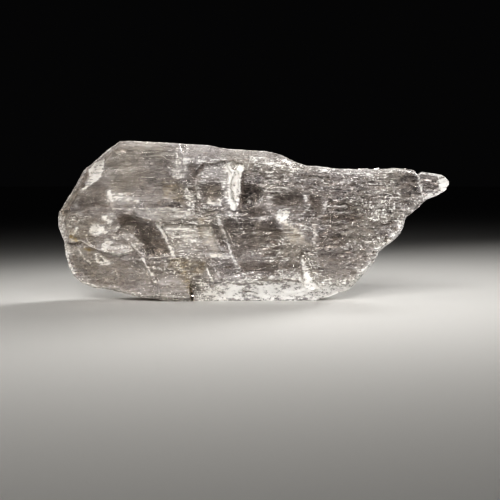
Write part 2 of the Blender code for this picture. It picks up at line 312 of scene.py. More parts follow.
def distanceToLine(points, first, second):
    edge = second - first
    reach = numpy.clip(((points - first) @ edge) / (edge @ edge), 0.0, 1.0)
    return numpy.linalg.norm(points - first - reach[:, None] * edge, axis=1)


def softStep(values, low, high):
    share = numpy.clip((values - low) / (high - low), 0.0, 1.0)
    return share * share * (3.0 - 2.0 * share)


def smoothStep(value, low, high):
    share = min(1.0, max(0.0, (value - low) / (high - low)))
    return share * share * (3.0 - 2.0 * share)


def meshArrays(mesh):
    places = numpy.empty(len(mesh.vertices) * 3)
    mesh.vertices.foreach_get("co", places)
    normals = numpy.empty(len(mesh.vertices) * 3)
    mesh.vertex_normals.foreach_get("vector", normals)
    return places.reshape(-1, 3), normals.reshape(-1, 3)


def onFace(places):
    # millimetres from the blunt end and up, as the front of the crystal is measured
    return numpy.stack([(places[:, 0] - bluntEnd) / mm, places[:, 2] / mm], axis=1)


def makeCrystal():
    settings = crystalSettings
    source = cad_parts[settings["node"]]
    crystal = emptyPiece("crystal")
    crystal.data = source.data.copy()
    crystal.data.name = "crystal"
    crystal.data.materials.clear()
    bpy.ops.object.mode_set(mode="EDIT")
    bpy.ops.mesh.select_all(action="SELECT")
    bpy.ops.mesh.remove_doubles(threshold=settings["mergeWithin"])
    bpy.ops.mesh.normals_make_consistent(inside=False)
    bpy.ops.object.mode_set(mode="OBJECT")
    remesh = crystal.modifiers.new("even_faces", "REMESH")
    remesh.mode = "SHARP"
    remesh.octree_depth = settings["remeshDepth"]
    remesh.scale = settings["remeshScale"]
    remesh.sharpness = 1.0
    remesh.use_remove_disconnected = True
    bpy.ops.object.modifier_apply(modifier=remesh.name)
    print("crystal remeshed:", len(crystal.data.polygons), "faces")
    return crystal


def stepped(value, count):
    # flat treads with short slopes between them, as cleavage leaves
    level = value * count
    tread = math.floor(level)
    return (tread + smoothStep(level - tread, 0.0, crystalSettings["treadSlope"])) / count


def layerNoise(x, z, side, settings):
    # from 0 to 1, long in the direction of the crystal, and not the same on the front and the rear
    seed, sideStep = settings["seed"]
    place = Vector((x / settings["length"], z / settings["height"], seed + side * sideStep))
    return 0.5 + 0.5 * noise.noise(place)


def plateDepth(x, z, side, settings):
    # the broad sheets that have split away
    across, up = x / settings["raggedLength"], z / settings["raggedHeight"]
    wobble = noise.noise(Vector((across, up, side * settings["raggedSeed"]))) * settings["ragged"]
    return stepped(layerNoise(x, z + wobble, side, settings), settings["steps"]) * settings["depth"]


def lathDepth(x, z, side, settings):
    return stepped(layerNoise(x, z, side, settings), settings["steps"]) * settings["depth"]


def grainDepth(x, z, side, settings):
    return layerNoise(x, z, side, settings) * settings["depth"]


def rimDepth(point, settings):
    distances, _ = noise.voronoi(Vector(point) / settings["chip"])
    return min(1.0, distances[1] - distances[0]) * settings["depth"]


def liveliness(x, z):
    # how broken the surface is: calm at the upper left, lively to the right
    settings = crystalSettings["lively"]
    calm = (1.0 - smoothStep(x, *settings["calmAlong"])) * smoothStep(z, *settings["calmUp"])
    right = smoothStep(x, *settings["rightAlong"])
    return settings["least"] + (1.0 - settings["least"]) * max(right, settings["left"] * (1.0 - calm))


def rearShift(flat, inset):
    # the rear ledges' ends lean as the cleavage does
    settings = crystalSettings["rearSlant"]
    return settings["slope"] * (flat[:, 1] - settings["middle"]) * softStep(inset, *settings["inset"])


def closeCrack(places, flat):
    settings = crystalSettings["footCrack"]
    heights, centres, shifts = numpy.array(settings["line"]).T
    gap = flat[:, 0] - numpy.interp(flat[:, 1], heights, centres)
    reach = 1.0 - softStep(flat[:, 1], *settings["heights"])
    reach *= softStep(-places[:, 1] / mm, *settings["depths"])
    shift = numpy.interp(flat[:, 1], heights, shifts)
    shift *= 1.0 - softStep(numpy.abs(gap), *settings["moving"])
    squeeze = settings["narrowing"] * gap * (1.0 - softStep(numpy.abs(gap), *settings["closing"]))
    places[:, 0] += (shift - squeeze) * reach * mm


def cutNotch(places, flat, inset):
    settings = crystalSettings["neckNotch"]
    cut = 1.0 - softStep(numpy.abs(flat[:, 0] - settings["along"]), 0.0, settings["halfWidth"])
    cut *= 1.0 - softStep(inset, *settings["inset"])
    places[:, 2] -= settings["depth"] * cut * (flat[:, 1] > settings["above"]) * mm


def loosenEdges(crystal):
    # nothing on a natural face runs dead straight, so the ledges wander, but not the outline
    settings = crystalSettings
    warp = settings["warp"]
    places, _ = meshArrays(crystal.data)
    flat = onFace(places)
    inset = distanceInside(flat, settings["outline"])
    room = softStep(inset, *warp["inset"])
    elsewhere = Vector((31.0, 0.0, 0.0))
    for index in numpy.nonzero(room)[0]:
        x, z = flat[index]
        y = places[index][1] / mm / warp["through"]
        broad = Vector((x / warp["length"], z / warp["height"], y))
        fine = Vector((x / warp["fineLength"], z / warp["fineHeight"], y + 9.0))
        along = noise.noise(broad) * warp["along"] + noise.noise(fine) * warp["fine"]
        up = noise.noise(broad + elsewhere) * warp["up"] + noise.noise(fine + elsewhere) * warp["fine"]
        places[index][0] += along * room[index] * mm
        places[index][2] += up * room[index] * mm
    closeCrack(places, flat)
    behind = softStep(places[:, 1] / mm, *settings["rearSlant"]["depths"])
    places[:, 0] += rearShift(flat, inset) * behind * mm
    cutNotch(places, flat, inset)
    near = 1.0 - softStep(inset, *settings["edgeInset"])
    sides = {"eastEdge": flat[:, 0] > settings["eastFrom"], "westEdge": flat[:, 0] < settings["westTo"]}
    for edge, side in sides.items():
        heights, shifts = numpy.array(settings[edge]).T
        places[:, 0] += numpy.interp(flat[:, 1], heights, shifts, 0.0, 0.0) * near * side * mm
    crystal.data.vertices.foreach_set("co", places.ravel())
    crystal.data.update()
    print("ledges loosened")


def weather(crystal):
    settings = crystalSettings
    places, normals = meshArrays(crystal.data)
    depths = numpy.zeros(len(places))
    for index in range(len(places)):
        x = (places[index][0] - bluntEnd) / mm
        y = places[index][1] / mm
        z = places[index][2] / mm
        if z < settings["foot"][0]:
            continue
        side = -1.0 if normals[index][1] < 0.0 else 1.0
        broad = smoothStep(abs(normals[index][1]), *settings["broadNormals"])
        depth = 0.0
        if broad > 0.0:
            life = liveliness(x, z)
            depth += broad * plateDepth(x, z, side, settings["plates"])
            depth += broad * life * lathDepth(x, z, side, settings["laths"])
            depth += broad * life * grainDepth(x, z, side, settings["grain"])
        if broad < 1.0:
            depth += (1.0 - broad) * rimDepth((x, y, z), settings["rim"])
        depths[index] = depth * smoothStep(z, *settings["foot"])
    places -= normals * depths[:, None] * mm
    places = numpy.clip(places, numpy.array(cadBox[0]), numpy.array(cadBox[1]))
    crystal.data.vertices.foreach_set("co", places.ravel())
    crystal.data.update()
    print("surface weathered, deepest", round(float(depths.max()), 2), "mm")


# What the surface shows from place to place, in the front face's own millimetres.
# Each patch: corners, softness of its border in mm, and its strength

paintSettings = {
    # white, broken places, with painted highlights among them: the bright band along the foot, small sparks
    # and glints
    "frostAndHighlights": {
        # painted light: the bright band along the foot, lit through the bottom facets, is painted white in
        # footGlow, footHeart and both foot glints
        "footGlow": (((45.4, -1), (46.4, 3), (52, 5), (55.6, 8), (62, 8.4), (68, 7.6), (72, 8.6), (80, 8.8),
                      (86, 6), (95.6, 4.6), (96, 2), (86, -1)), 3.2, 0.74),
        "footHeart": (((54, 1.4), (57, 6.6), (62, 6), (69, 6.6), (76, 5.4), (82, 6), (84, 1.6), (70, 0.8)),
                       2.2, 1.2),
        "footGlintA": (((56.4, 1), (56.8, 6.4), (59, 7.4), (61, 4), (60, 0.8)), 1.6, 1.3),
        "footGlintB": (((67, 1.4), (67.6, 5.4), (71, 6), (72, 2)), 1.8, 1.25),
        "tip": (((126.6, 43), (126.4, 41), (127, 38.8), (126.4, 37.2), (132, 35), (132, 43)), 1, 1.6),
        "tipRimTop": (((120.6, 43.6), (120.8, 42.2), (127, 40.8), (127.4, 43)), 0.9, 0.75),
        "tipRimFoot": (((121.4, 34.2), (123.6, 35.8), (125.4, 35.4), (129, 37.8), (130.4, 36),
                        (121.4, 32.4)), 1, 0.9),
        # painted glints: small bright sparks painted white, as are cornerSpark and the rear's eyeSpark
        "sparkA": (((110.4, 30.4), (111.6, 31.7), (112.2, 31.2), (111, 30)), 0.4, 1.3),
        "sparkB": (((107.8, 30.9), (108.5, 30.9), (108.9, 30), (108.2, 29.7)), 0.4, 1.2),
        "sparkC": (((104.4, 30.4), (105.2, 30), (106.1, 28.9), (105.4, 28.6)), 0.4, 1.2),
        "sparkD": (((103.2, 32.6), (103.9, 33.1), (104.2, 31.6), (103.2, 30.8)), 0.4, 1),
        "sparkE": (((101.9, 42.4), (104.6, 41.9), (104.4, 41.2), (102.2, 41.7)), 0.4, 0.9),
        "forkArmLeft": (((55.4, 45.2), (56.4, 45.6), (57.6, 44.8), (58.6, 43), (59.2, 41), (57.4, 40.4),
                         (56.4, 43)), 0.4, 1.6),
        "forkArmRight": (((59.4, 43.6), (60.2, 45.2), (61.8, 45), (62.1, 43.6), (60.9, 42.2), (60.7, 40.4),
                          (58.6, 41)), 0.4, 1.7),
        "forkStem": (((56.9, 41.8), (60.6, 41.6), (60.7, 38), (60.4, 34.6), (60, 32), (59, 30.2),
                      (57.6, 30.4), (56.8, 33.6), (56.6, 38)), 0.4, 1.25),
        "forkShade": (((54.3, 43.8), (56.2, 43.4), (57.2, 38), (57, 32.4), (56.4, 32), (55.2, 36),
                       (54.2, 40)), 0.7, 0.42),
        "bubbleStripes": (((48.2, 43.6), (52, 45), (54.4, 44), (54.2, 39.8), (47.6, 40.4)), 1, 0.38),
        "forkFoot": (((49.4, 32.6), (50.6, 34.2), (51.8, 32.8), (53.4, 34.2), (54.6, 33.8), (54.4, 31.8),
                      (51.8, 31.4)), 0.6, 0.85),
        "paneSpot": (((62.6, 33.4), (64.2, 33.6), (65, 33), (63.6, 32.6)), 0.5, 0.7),
        "star": (((72.2, 28), (72.8, 29.6), (74, 30.3), (76, 30.2), (76.9, 29.2), (76.4, 28), (75, 27.2),
                  (74.2, 26.2), (73, 26.6)), 0.9, 1.05),
        "browRing": (((15, 27.6), (16.4, 29.4), (19.2, 29), (20.4, 27.2), (18.8, 25.4), (17.4, 25.4)),
                      0.7, 0.42),
        "browSpot": (((15.4, 28.6), (16.6, 29), (17.2, 27.4), (18.8, 26.6), (18.2, 25.4), (16.6, 26)),
                      0.5, 1.2),
        "upperLens": (((11, 23.8), (12, 25.4), (14, 25.8), (15.8, 25), (16.2, 23.8), (15, 22.6),
                       (12.6, 22.2)), 1.2, 0.95),
        "upperLensTail": (((15.4, 25.2), (19.6, 25.2), (24.6, 24.4), (19, 23.6), (15.6, 23.8)), 0.7, 0.40),
        "lowerLens": (((14.6, 18.2), (16.6, 20.6), (20, 21.8), (24.4, 21.8), (27, 20.4), (28.8, 18.8),
                       (26.4, 17.2), (22, 15.8), (18, 16)), 0.6, 0.28),
        "lowerLensSpot": (((14.7, 18.6), (15.8, 20.2), (17.4, 20.4), (18.4, 19.4), (17.6, 18), (15.8, 17.6)),
                           0.5, 1),
        "lensHeart": (((20.6, 16.4), (22.4, 17.4), (25.6, 17.4), (24.2, 16.4)), 0.9, 0.45),
        "whiteScar": (((16.8, 36.6), (18, 37), (18.6, 35.4), (19.3, 33.2), (18.2, 32.8), (17.4, 34)),
                       0.9, 0.85),
        "scarTail": (((19.2, 35.6), (22.6, 35), (27.6, 33.2), (24, 32.6), (19.4, 33)), 1.4, 0.30),
        "westSpots": (((5.6, 23.6), (6.8, 25.2), (7.4, 24.4), (6.4, 22.6)), 0.7, 0.65),
        "westBud": (((5.8, 31.8), (7.2, 32.4), (7, 30.8)), 0.8, 0.5),
        # painted glint
        "cornerSpark": (((16.4, 50), (18, 50.9), (18.8, 50.4), (17.6, 49.4)), 0.8, 0.7),
        "wanPatch": (((38.4, 41.2), (40.2, 42.4), (42.2, 42.2), (41.8, 40.6), (39.6, 40.4)), 0.8, 0.62),
        "wanCloud": (((39.2, 45.6), (41, 50.2), (43, 47.4), (43.4, 41), (40.8, 40), (38.6, 42.8)),
                      1.8, 0.34),
        "crumbs": (((42.6, 37.4), (44.2, 36.6), (45.6, 33), (45.6, 30.6), (44.2, 31), (43, 33.8)), 1, 0.42),
        "splinter": (((80.7, 14.6), (82.4, 11.4), (83.8, 7.6), (85.2, 4.6), (83.4, 2.6), (82.2, 6),
                      (81.2, 10)), 0.4, 1),
        "tailStreak": (((88.2, 32.8), (89.2, 33.2), (89.4, 31.4), (88.2, 28.6), (87.4, 27.6), (88, 30)),
                        0.6, 0.52),
        "eastVein": (((84.4, 27), (85.6, 25.4), (85.6, 20), (84.6, 17), (84.4, 20), (84.8, 24)), 1, 0.38),
        "paleDrop": (((68.8, 36), (71, 36.4), (71.2, 32.4), (70, 30.4), (68.8, 32.4)), 1.6, 0.34),
        "shelfKnot": (((51, 15.6), (54, 16), (58.6, 15.4), (56, 14.4), (52, 14.6)), 0.6, 0.45),
        "cornerKnot": (((32.4, 26), (33.4, 26.2), (34.2, 25.2), (33.2, 24.8)), 0.4, 0.85),
        "footFlecks": (((46.4, 5.8), (49, 6.2), (50.2, 5), (47, 4.4)), 0.8, 0.5),
        "crown": (((57, 48.6), (66, 48.4), (76, 44.9), (84, 43.8), (84, 42.6), (72, 44.6), (62, 46.8)),
                   1.8, 0.26),
    },
    # smooth milky places
    "milk": {
        "shoulderChip": (((15.8, 47), (15.9, 45.4), (15.5, 43.2), (15, 41.2), (12.9, 39.4), (8.5, 36.6),
                          (10, 38.8), (10.8, 41.2), (10.5, 43.5), (12.6, 45.4)), 0.8, 0.50),
        "upperWest": (((17, 50), (21, 53), (41, 52.5), (39, 40), (38, 32), (18, 31), (15.8, 40)), 4, 0.15),
        "topBand": (((40, 53), (41.4, 48), (44, 47), (57, 47.6), (70, 46.8), (80, 44), (84, 46), (70, 50.6),
                     (50, 53)), 1.2, 0.06),
        "ledgeBelt": (((24, 30.6), (29, 31), (43, 31.2), (46, 28), (34, 26.8), (28.6, 27.4)), 1.8, 0.30),
        "shelf": (((34.6, 25.6), (46, 26.4), (50, 16), (39, 15.6)), 1.8, 0.24),
        "shelfBand": (((46.8, 26.6), (50.4, 25.6), (54.2, 15.6), (50.6, 15.4), (47.6, 22)), 1.4, 0.22),
        "heel": (((6, 20), (14, 17), (28, 14.4), (32, 5), (44, 1), (44, 0), (28, 1), (9, 6), (4, 13)),
                  3.5, 0.16),
        "heelEdge": (((16, 3.6), (30, 4.2), (44, 4.6), (45, 0), (30, -1), (16, 2)), 2.6, 0.20),
        "knee": (((33.6, 8), (39, 9.6), (43, 4), (40, 1), (33, 3.4)), 3.6, 0.14),
        "westLip": (((0, 28), (2.2, 27), (3.6, 20), (4.6, 15.4), (2, 14), (-1, 22)), 1.4, 0.26),
        "starTail": (((74.2, 26.4), (77.4, 26.2), (82, 22), (82.4, 19), (77, 19.8), (74.6, 23)), 2.2, 0.34),
        "eastLow": (((86, 14), (97, 16), (103, 13), (94, 4), (86, 5)), 5, 0.14),
        "eastRim": (((94, 4.4), (106, 18), (114.6, 27.8), (117.4, 27), (112, 18), (96, 2)), 1.6, 0.22),
        "eastTop": (((84, 45), (84, 40), (112, 40), (118, 44)), 2.6, 0.12),
    },
    # clearer places; their darker tint is painted shade, the dark seen through them
    "clear": {
        "window": (((20.6, 27.6), (26.4, 27.2), (30.6, 25.6), (33.2, 24.4), (34.6, 22.4), (36.8, 18),
                    (37.4, 15.6), (34, 14.8), (29.2, 15.4), (28.6, 18.8), (25.6, 21.8), (21.4, 24.6)),
                    0.9, 0.95),
        "bubble": (((48, 39), (54, 39.4), (55.2, 35.6), (53.4, 34), (50.2, 34.4), (47.6, 36.4)), 2, 0.44),
        "pane": (((61, 39.2), (66.6, 39), (68, 36.4), (66.4, 33), (63.4, 31.6), (60.8, 32.4)), 0.9, 1),
        "darkWedge": (((50.6, 24.6), (53.4, 24), (56, 18.6), (54.2, 18.2)), 1, 0.75),
        "underPane": (((60, 31.6), (68, 31.4), (67, 28.4), (61.6, 27.6)), 1.8, 0.65),
        "westOfStar": (((64, 26.6), (72, 27.6), (74, 23), (72, 19.4), (66, 20)), 1.8, 0.75),
        "middle": (((54, 27), (64, 29), (68, 18), (58, 15)), 3.5, 0.60),
        "overFoot": (((60, 13.4), (80, 13.4), (80, 10.6), (70, 9.4), (61, 10)), 1.6, 0.65),
        "starRoof": (((71.6, 36), (80.8, 35.6), (81.4, 32), (72, 31.6)), 1.6, 0.70),
        "braceEye": (((82.6, 35.2), (87.6, 35), (87, 29.4), (85.6, 27), (84.2, 30.6)), 1.6, 0.72),
        "eastBars": (((89.8, 33.4), (99.4, 32.6), (99, 27), (89, 26.6)), 1.8, 0.65),
        "eastPatch": (((86.4, 23), (93, 24), (96.4, 20), (92, 17.4), (86.6, 17.6)), 1.6, 0.65),
        "westDark": (((7.6, 35.4), (16, 36), (16.4, 31.6), (8, 30.6)), 1.6, 0.45),
        "westRim": (((1.8, 29), (5, 34.4), (8.6, 40), (10.2, 43.4), (10.6, 41), (7.4, 35.6), (4, 29)),
                     1.2, 0.55),
        "heelDark": (((7, 13.8), (12.4, 12), (24, 12.6), (27, 6.6), (13, 7)), 3, 0.35),
        "kneePit": (((30.4, 12.6), (35.4, 12.2), (36, 9), (31, 8.8)), 1.2, 0.45),
        "tipNeck": (((112, 42.4), (118.4, 42.2), (119.8, 36), (114.4, 33)), 3, 0.40),
        "neckEye": (((121.4, 40.4), (126.6, 39.8), (126.6, 36.6), (122.4, 36.6)), 1.6, 0.34),
        "upperWestDeep": (((17, 48), (22, 51.4), (38, 50.6), (38, 40), (36, 32.4), (20, 36.6)), 5, 0.26),
        "heelDeep": (((5, 15.6), (14, 15.6), (28, 13.4), (31, 5.4), (14, 4.6), (7, 9)), 4, 0.38),
        "lensEye": (((19.6, 19), (21.6, 20.8), (24.8, 20.6), (25.4, 19), (22, 18.2)), 0.8, 0.55),
        "eastLowDeep": (((86, 16), (98, 18), (105, 15), (98, 6), (87, 7.6)), 5, 0.50),
        "eastDeep": (((88, 30), (104, 32), (108, 24), (98, 18), (87, 20)), 5, 0.22),
        "pitA": (((108.2, 20.6), (109.4, 20.6), (109.4, 19.4), (108.2, 19.4)), 0.6, 1),
        "pitB": (((111.8, 24.4), (112.8, 24.4), (112.8, 23.2), (111.8, 23.2)), 0.6, 1),
        "pitC": (((109.6, 26.6), (111.2, 26.6), (111.2, 25.4), (109.6, 25.4)), 0.9, 0.9),
        "pitD": (((107.6, 36), (109.2, 35.8), (109, 34.2), (107.8, 34)), 1, 0.6),
        "pitE": (((114.4, 33.6), (116, 33.4), (116, 32.2), (114.6, 32.2)), 1, 0.6),
    },
    # painted shade: dark lines, each given by its points, its width in mm and its strength
    "darkLines": {
        "barA": (((89.8, 32.5), (93.4, 32.2), (97.2, 32.3)), 0.55, 0.9),
        "barB": (((91, 30.6), (95, 30.3), (99, 30.6)), 0.45, 0.75),
        "barC": (((88, 27.3), (92, 27.6), (96, 27.2), (101, 27.6)), 0.75, 1),
        "barD": (((90, 28.6), (92.6, 28.5)), 0.7, 0.9),
        "barE": (((88.6, 21.8), (91.6, 21.4), (95, 21.8)), 0.7, 0.7),
        "barF": (((87.2, 19.2), (90, 18.8), (94, 19.2)), 0.6, 0.7),
        "barG": (((95.6, 16.8), (98.4, 16.4)), 0.9, 0.7),
        "starRoofA": (((72.4, 34.6), (76, 34.2), (80.8, 34.5)), 0.7, 0.85),
        "starRoofB": (((71.8, 32.4), (75.6, 32), (79.6, 32.3)), 0.6, 0.75),
        "underPaneA": (((60.4, 29.6), (64, 29.2), (68.4, 29.6)), 0.6, 0.7),
        "underPaneB": (((61, 25.4), (66, 25), (71.6, 25.2)), 0.6, 0.65),
        "midA": (((58.4, 21.8), (63, 21.4), (69, 21.8), (73.8, 21.2)), 0.6, 0.75),
        "midB": (((62.4, 17.8), (68, 17.4), (74, 17.8)), 0.5, 0.55),
        "overFootA": (((60.6, 12), (67, 11.6), (74, 12), (80, 11.6)), 0.7, 0.7),
        "footWaveA": (((56.4, 6.4), (60, 5.7), (64, 6.2), (68, 5.8)), 0.4, 0.8),
        "footWaveB": (((61.8, 3.6), (64, 3.2), (66.4, 2.6)), 0.45, 0.8),
        "footWaveC": (((72.6, 6.6), (76, 7.2), (80, 6.8)), 0.4, 0.7),
        "crownA": (((44.6, 45.2), (45.4, 42.8), (45.2, 40.4)), 1.2, 0.5),
        "bubbleArc": (((48.4, 44.2), (46.2, 41.8), (45.3, 39), (46, 35.2), (48, 31.6)), 0.6, 0.7),
        "forkGutter": (((61.6, 41.4), (61.2, 37), (60.9, 33.4), (60.5, 31)), 0.6, 0.9),
        "neckA": (((113.6, 41.2), (116.4, 40.8), (119, 41)), 0.5, 0.7),
        "neckB": (((114.6, 38.4), (117.4, 38.2), (119.8, 38.4)), 0.5, 0.7),
        "neckC": (((115.8, 43), (118.2, 39), (119.4, 35.4)), 0.7, 0.6),
        "kneeA": (((31, 12.2), (33.6, 12), (36, 12.3)), 0.6, 0.7),
        "kneeB": (((31.8, 10), (34.8, 9.8)), 0.6, 0.6),
        "windowA": (((22, 27.4), (26.5, 25.6), (29, 22.5), (30.8, 18.5)), 1.8, 1),
    },
    # where hardly any grain shows
    "calm": {
        "topBand": (((40, 54), (41.4, 48.2), (44, 47.4), (57, 48), (66, 48.4), (76, 45.4), (80, 48),
                     (70, 52), (50, 54)), 1.6, 0.8),
        "upperWest": (((14, 36), (17, 50), (21, 54), (38, 53), (36, 32), (20, 36.6)), 4, 0.45),
        "window": (((19.6, 28), (28, 27.6), (34.6, 24), (38.4, 15.4), (29.2, 14.8), (26, 21.8)), 1.4, 0.9),
        "heel": (((8, 9), (26, 11), (32, 4), (26, 3), (10, 5)), 3, 0.5),
        "knee": (((34, 8), (42, 8.6), (44, 1), (34, 1.6)), 2.4, 0.5),
        "shelfBand": (((47, 26.4), (50.4, 25.6), (54.2, 16), (50.6, 15.8), (48, 21)), 1.6, 0.5),
        "braceEye": (((83.4, 35), (87.6, 35), (87.4, 28.4), (83.8, 29)), 0.8, 0.5),
        "splinter": (((81, 14), (83.6, 7.6), (84.8, 4.8), (83, 2.6), (81.4, 10)), 0.6, 0.8),
        "starTail": (((74.2, 25.8), (77.4, 26), (84.4, 21.4), (84.6, 16.6), (77, 18.6), (74.6, 23)),
                      2.2, 0.6),
        "westDark": (((7.6, 35.4), (16, 36), (16.4, 31.6), (8, 30.6)), 1.6, 0.6),
    },
    # where the grain is coarser than it is round about
    "lively": {
        "bubbleStripes": (((47.6, 44.6), (54.6, 45), (54.2, 39.4), (46.6, 40)), 1, 0.8),
        "shelf": (((36, 25.2), (46, 25.8), (47, 17), (40, 16.6)), 1.6, 0.55),
        "ledgeBelt": (((24, 30.4), (29, 31.6), (43, 31.6), (46, 28), (34, 27), (28.6, 27.4)), 1.4, 0.5),
        "scarTail": (((19, 36), (28, 34), (28, 32.4), (19, 32.6)), 1, 0.6),
        "lens": (((14, 26), (25, 25), (29, 19), (20, 15.4), (14, 17)), 1.4, 0.45),
        "knee": (((30, 13.6), (53, 13.6), (60, 8), (46, 2), (33, 6)), 2, 0.40),
        "wanPatch": (((38, 50), (43, 50), (46, 31), (42, 31), (38, 40)), 1.6, 0.45),
        "foot": (((46, 8), (96, 6), (90, 0), (46, 0)), 1.6, 0.4),
    },
    # small broken crumbs and curved splits
    "crumbly": {
        "east": (((97, 36), (108, 40), (120, 37), (122, 34), (114, 22), (104, 9), (96, 4), (92, 12),
                  (98, 22)), 5, 0.38),
        "eastSparks": (((101, 34.4), (112, 33.6), (112, 28), (106, 25), (101, 28.6)), 2.4, 1.2),
        "eastRim": (((96, 6.6), (106, 19), (112.4, 26), (116.6, 28.6), (115, 20), (100, 3)), 2, 0.75),
        "forkWest": (((42, 38.4), (46.6, 38.4), (49.6, 30), (43.4, 29)), 1.8, 0.9),
        "crown": (((41, 47.6), (57, 47.2), (66, 47.4), (80, 44.2), (80, 41.6), (64, 43.8), (44, 45)),
                   1.8, 0.8),
        "footWest": (((44.6, 7.4), (56, 8), (58, 0), (45.6, 0)), 1.8, 0.8),
        "eastFoot": (((83, 9), (99, 9), (95, 2), (86, 1)), 2.4, 0.9),
        "lens": (((10, 26.4), (20, 29.4), (26, 25), (28, 19), (20, 15), (13, 17)), 2, 0.28),
        "knee": (((30, 13.6), (45, 14.4), (44, 9), (33, 9)), 2, 0.75),
        "heel": (((5, 17), (24, 15), (28, 5), (9, 6)), 4, 0.35),
        "westLip": (((0, 29), (9, 28), (9, 22), (5, 14), (0, 20)), 2, 0.5),
        "star": (((71, 31), (78, 31), (80, 26), (72, 25)), 2, 0.6),
        "topWest": (((38, 50.4), (43.4, 50), (43, 40), (38, 41)), 1.4, 0.35),
    },
    # iron stain
    "stain": {
        "footCrack": (((40, 14.4), (41.6, 13.8), (43.2, 9.8), (44.6, 4.6), (45.6, -1), (44.6, -1), (43, 5),
                       (41.4, 10)), 0.8, 0.8),
        "crackHalo": (((37.4, 14.8), (43.6, 14.6), (45.6, 4), (44.6, 1), (41, 5)), 2.4, 0.56),
        "westStreak": (((4, 22), (6, 21.6), (8.4, 19.9), (7.2, 19.2), (4.6, 20.6)), 0.7, 1.3),
        "westHalo": (((3, 24.4), (12, 23.4), (14, 19.6), (13, 15), (5, 15.6)), 2.4, 0.48),
        "westFleck": (((8.2, 17.6), (11, 17.9), (13.4, 17.2), (12, 16.4), (9, 16.6)), 0.8, 1.1),
        "starTail": (((74.4, 26.4), (77.2, 26.2), (82, 22), (84.4, 18.4), (77, 19.6), (74.6, 23)), 2, 0.46),
        "eastVein": (((84, 27.4), (86.2, 27), (86, 16), (84, 17)), 1.4, 0.28),
        "shelfBand": (((46.4, 27.6), (50.6, 26.8), (55, 15), (50, 14.6), (46.6, 22)), 1.4, 0.40),
        "shelfRoot": (((45, 28.6), (48.6, 29), (50.6, 27.6), (48, 26.4), (45.4, 27)), 1, 0.55),
        "knee": (((36.4, 15), (50, 14), (48.6, 9.4), (42, 8.6), (37, 11)), 2.2, 0.66),
        "shoulder": (((9, 38), (11.6, 41), (14, 43.4), (11.8, 44.4), (9.8, 43), (7.4, 39)), 1.6, 0.26),
        "topStreak": (((31.6, 51.4), (35.8, 51), (36.4, 44.6), (33, 44)), 2, 0.32),
        "heel": (((4, 17), (16, 15.6), (24, 12), (26, 5), (12, 7), (5, 11)), 3.5, 0.36),
        "chip": (((16, 47.4), (15, 41), (8, 36), (10, 43.6), (12.6, 45.6)), 1, 0.24),
        "neck": (((35, 41), (42, 39.4), (43.4, 31.6), (35, 34)), 2.4, 0.60),
        "bubbleRust": (((48, 38.6), (54.6, 38.4), (54, 32), (49, 32.4)), 1.4, 0.34),
        "braceRust": (((83, 36.6), (90.6, 36.4), (91, 34.4), (83.6, 34.6)), 1.2, 0.30),
        "westRim": (((1, 29.4), (5, 35.6), (9, 42), (10.2, 40.6), (6, 33), (3, 28.6)), 1.4, 0.26),
        "eastDust": (((78, 22), (84, 21), (82, 14.6), (72, 15)), 3, 0.20),
        "westWarmth": (((-2, 54), (40, 54), (56, 0), (-2, 0)), 12, 0.24),
    },
    # white lines where a cleavage crack meets the surface: points, width in mm, strength
    "cracks": {
        "windowStep": (((33.8, 25), (35.2, 22.7), (36.7, 19.2), (38, 16.7), (38.9, 15.4)), 0.65, 1.5),
        "windowTop": (((24.6, 28.6), (28, 26.9), (31, 26.6), (34.4, 26.4)), 0.32, 0.75),
        "windowInside": (((31, 21), (35.2, 21.1)), 0.2, 0.55),
        "windowFoot": (((28.8, 14.9), (33, 14.8), (37.2, 15.4)), 0.25, 0.6),
        "windowWest": (((26, 17.2), (28.8, 15.2)), 0.3, 0.75),
        "shelfFoot": (((38.9, 15.3), (42, 15.2), (46, 15), (51, 15.1)), 0.4, 0.8),
        "shelfFootEast": (((51, 15.1), (54, 14.8), (58, 15)), 0.5, 1.35),
        "heelLine": (((28.5, 14.6), (30.3, 11.4), (32.8, 6.7)), 0.5, 1.3),
        "longLine": (((19, 30.8), (26, 30.7), (33, 30.9), (39, 30.7)), 0.4, 0.8),
        "longLineB": (((24, 29.6), (28, 29.8), (34, 29.9), (43, 29.8)), 0.4, 0.6),
        "crownLine": (((42.4, 46.9), (46, 46.7), (50, 46.8), (55.6, 46.9)), 0.4, 1),
        "crownZigzag": (((39.8, 50.2), (40.2, 48.2), (40, 46.6), (42, 47.6), (42.8, 46.4)), 0.4, 0.75),
        "bubbleBrow": (((42.5, 45.5), (47, 45.9), (52, 45.6), (57.5, 45.7)), 0.6, 0.8),
        "heelBrow": (((3.4, 20.2), (8, 20.3), (11, 18.6), (14, 17)), 0.8, 0.40),
        # painted highlights: bright glint lines between the dark bars
        "barGlintA": (((90, 31.6), (93, 31.4), (96, 31.5)), 0.3, 0.8),
        "barGlintB": (((91.4, 29.6), (94, 29.4), (97.4, 29.6)), 0.28, 0.7),
        "eastRay": (((85.2, 27), (85.6, 22), (85, 17.4)), 0.35, 0.6),
        "bubbleArc": (((49.4, 43.6), (46.9, 41.8), (46, 39), (46.7, 35.4), (48.6, 32), (50.2, 30.6)),
                       0.45, 0.8),
        "bubbleFloor": (((47, 39.6), (50, 39.5), (54, 39.4)), 0.25, 0.55),
        "bubbleSide": (((54.4, 43.4), (54.4, 39), (55.4, 35.4), (56.6, 31.6)), 0.3, 0.5),
        "fineSlantA": (((52.8, 29.1), (54.6, 24.6), (56.3, 20.6), (57.8, 15.6), (61.3, 9.2)), 0.42, 1.1),
        "fineSlantB": (((58.8, 29.5), (60.9, 24.1)), 0.4, 0.8),
        "fineSlantC": (((50.8, 25), (54.6, 17.4)), 0.4, 0.9),
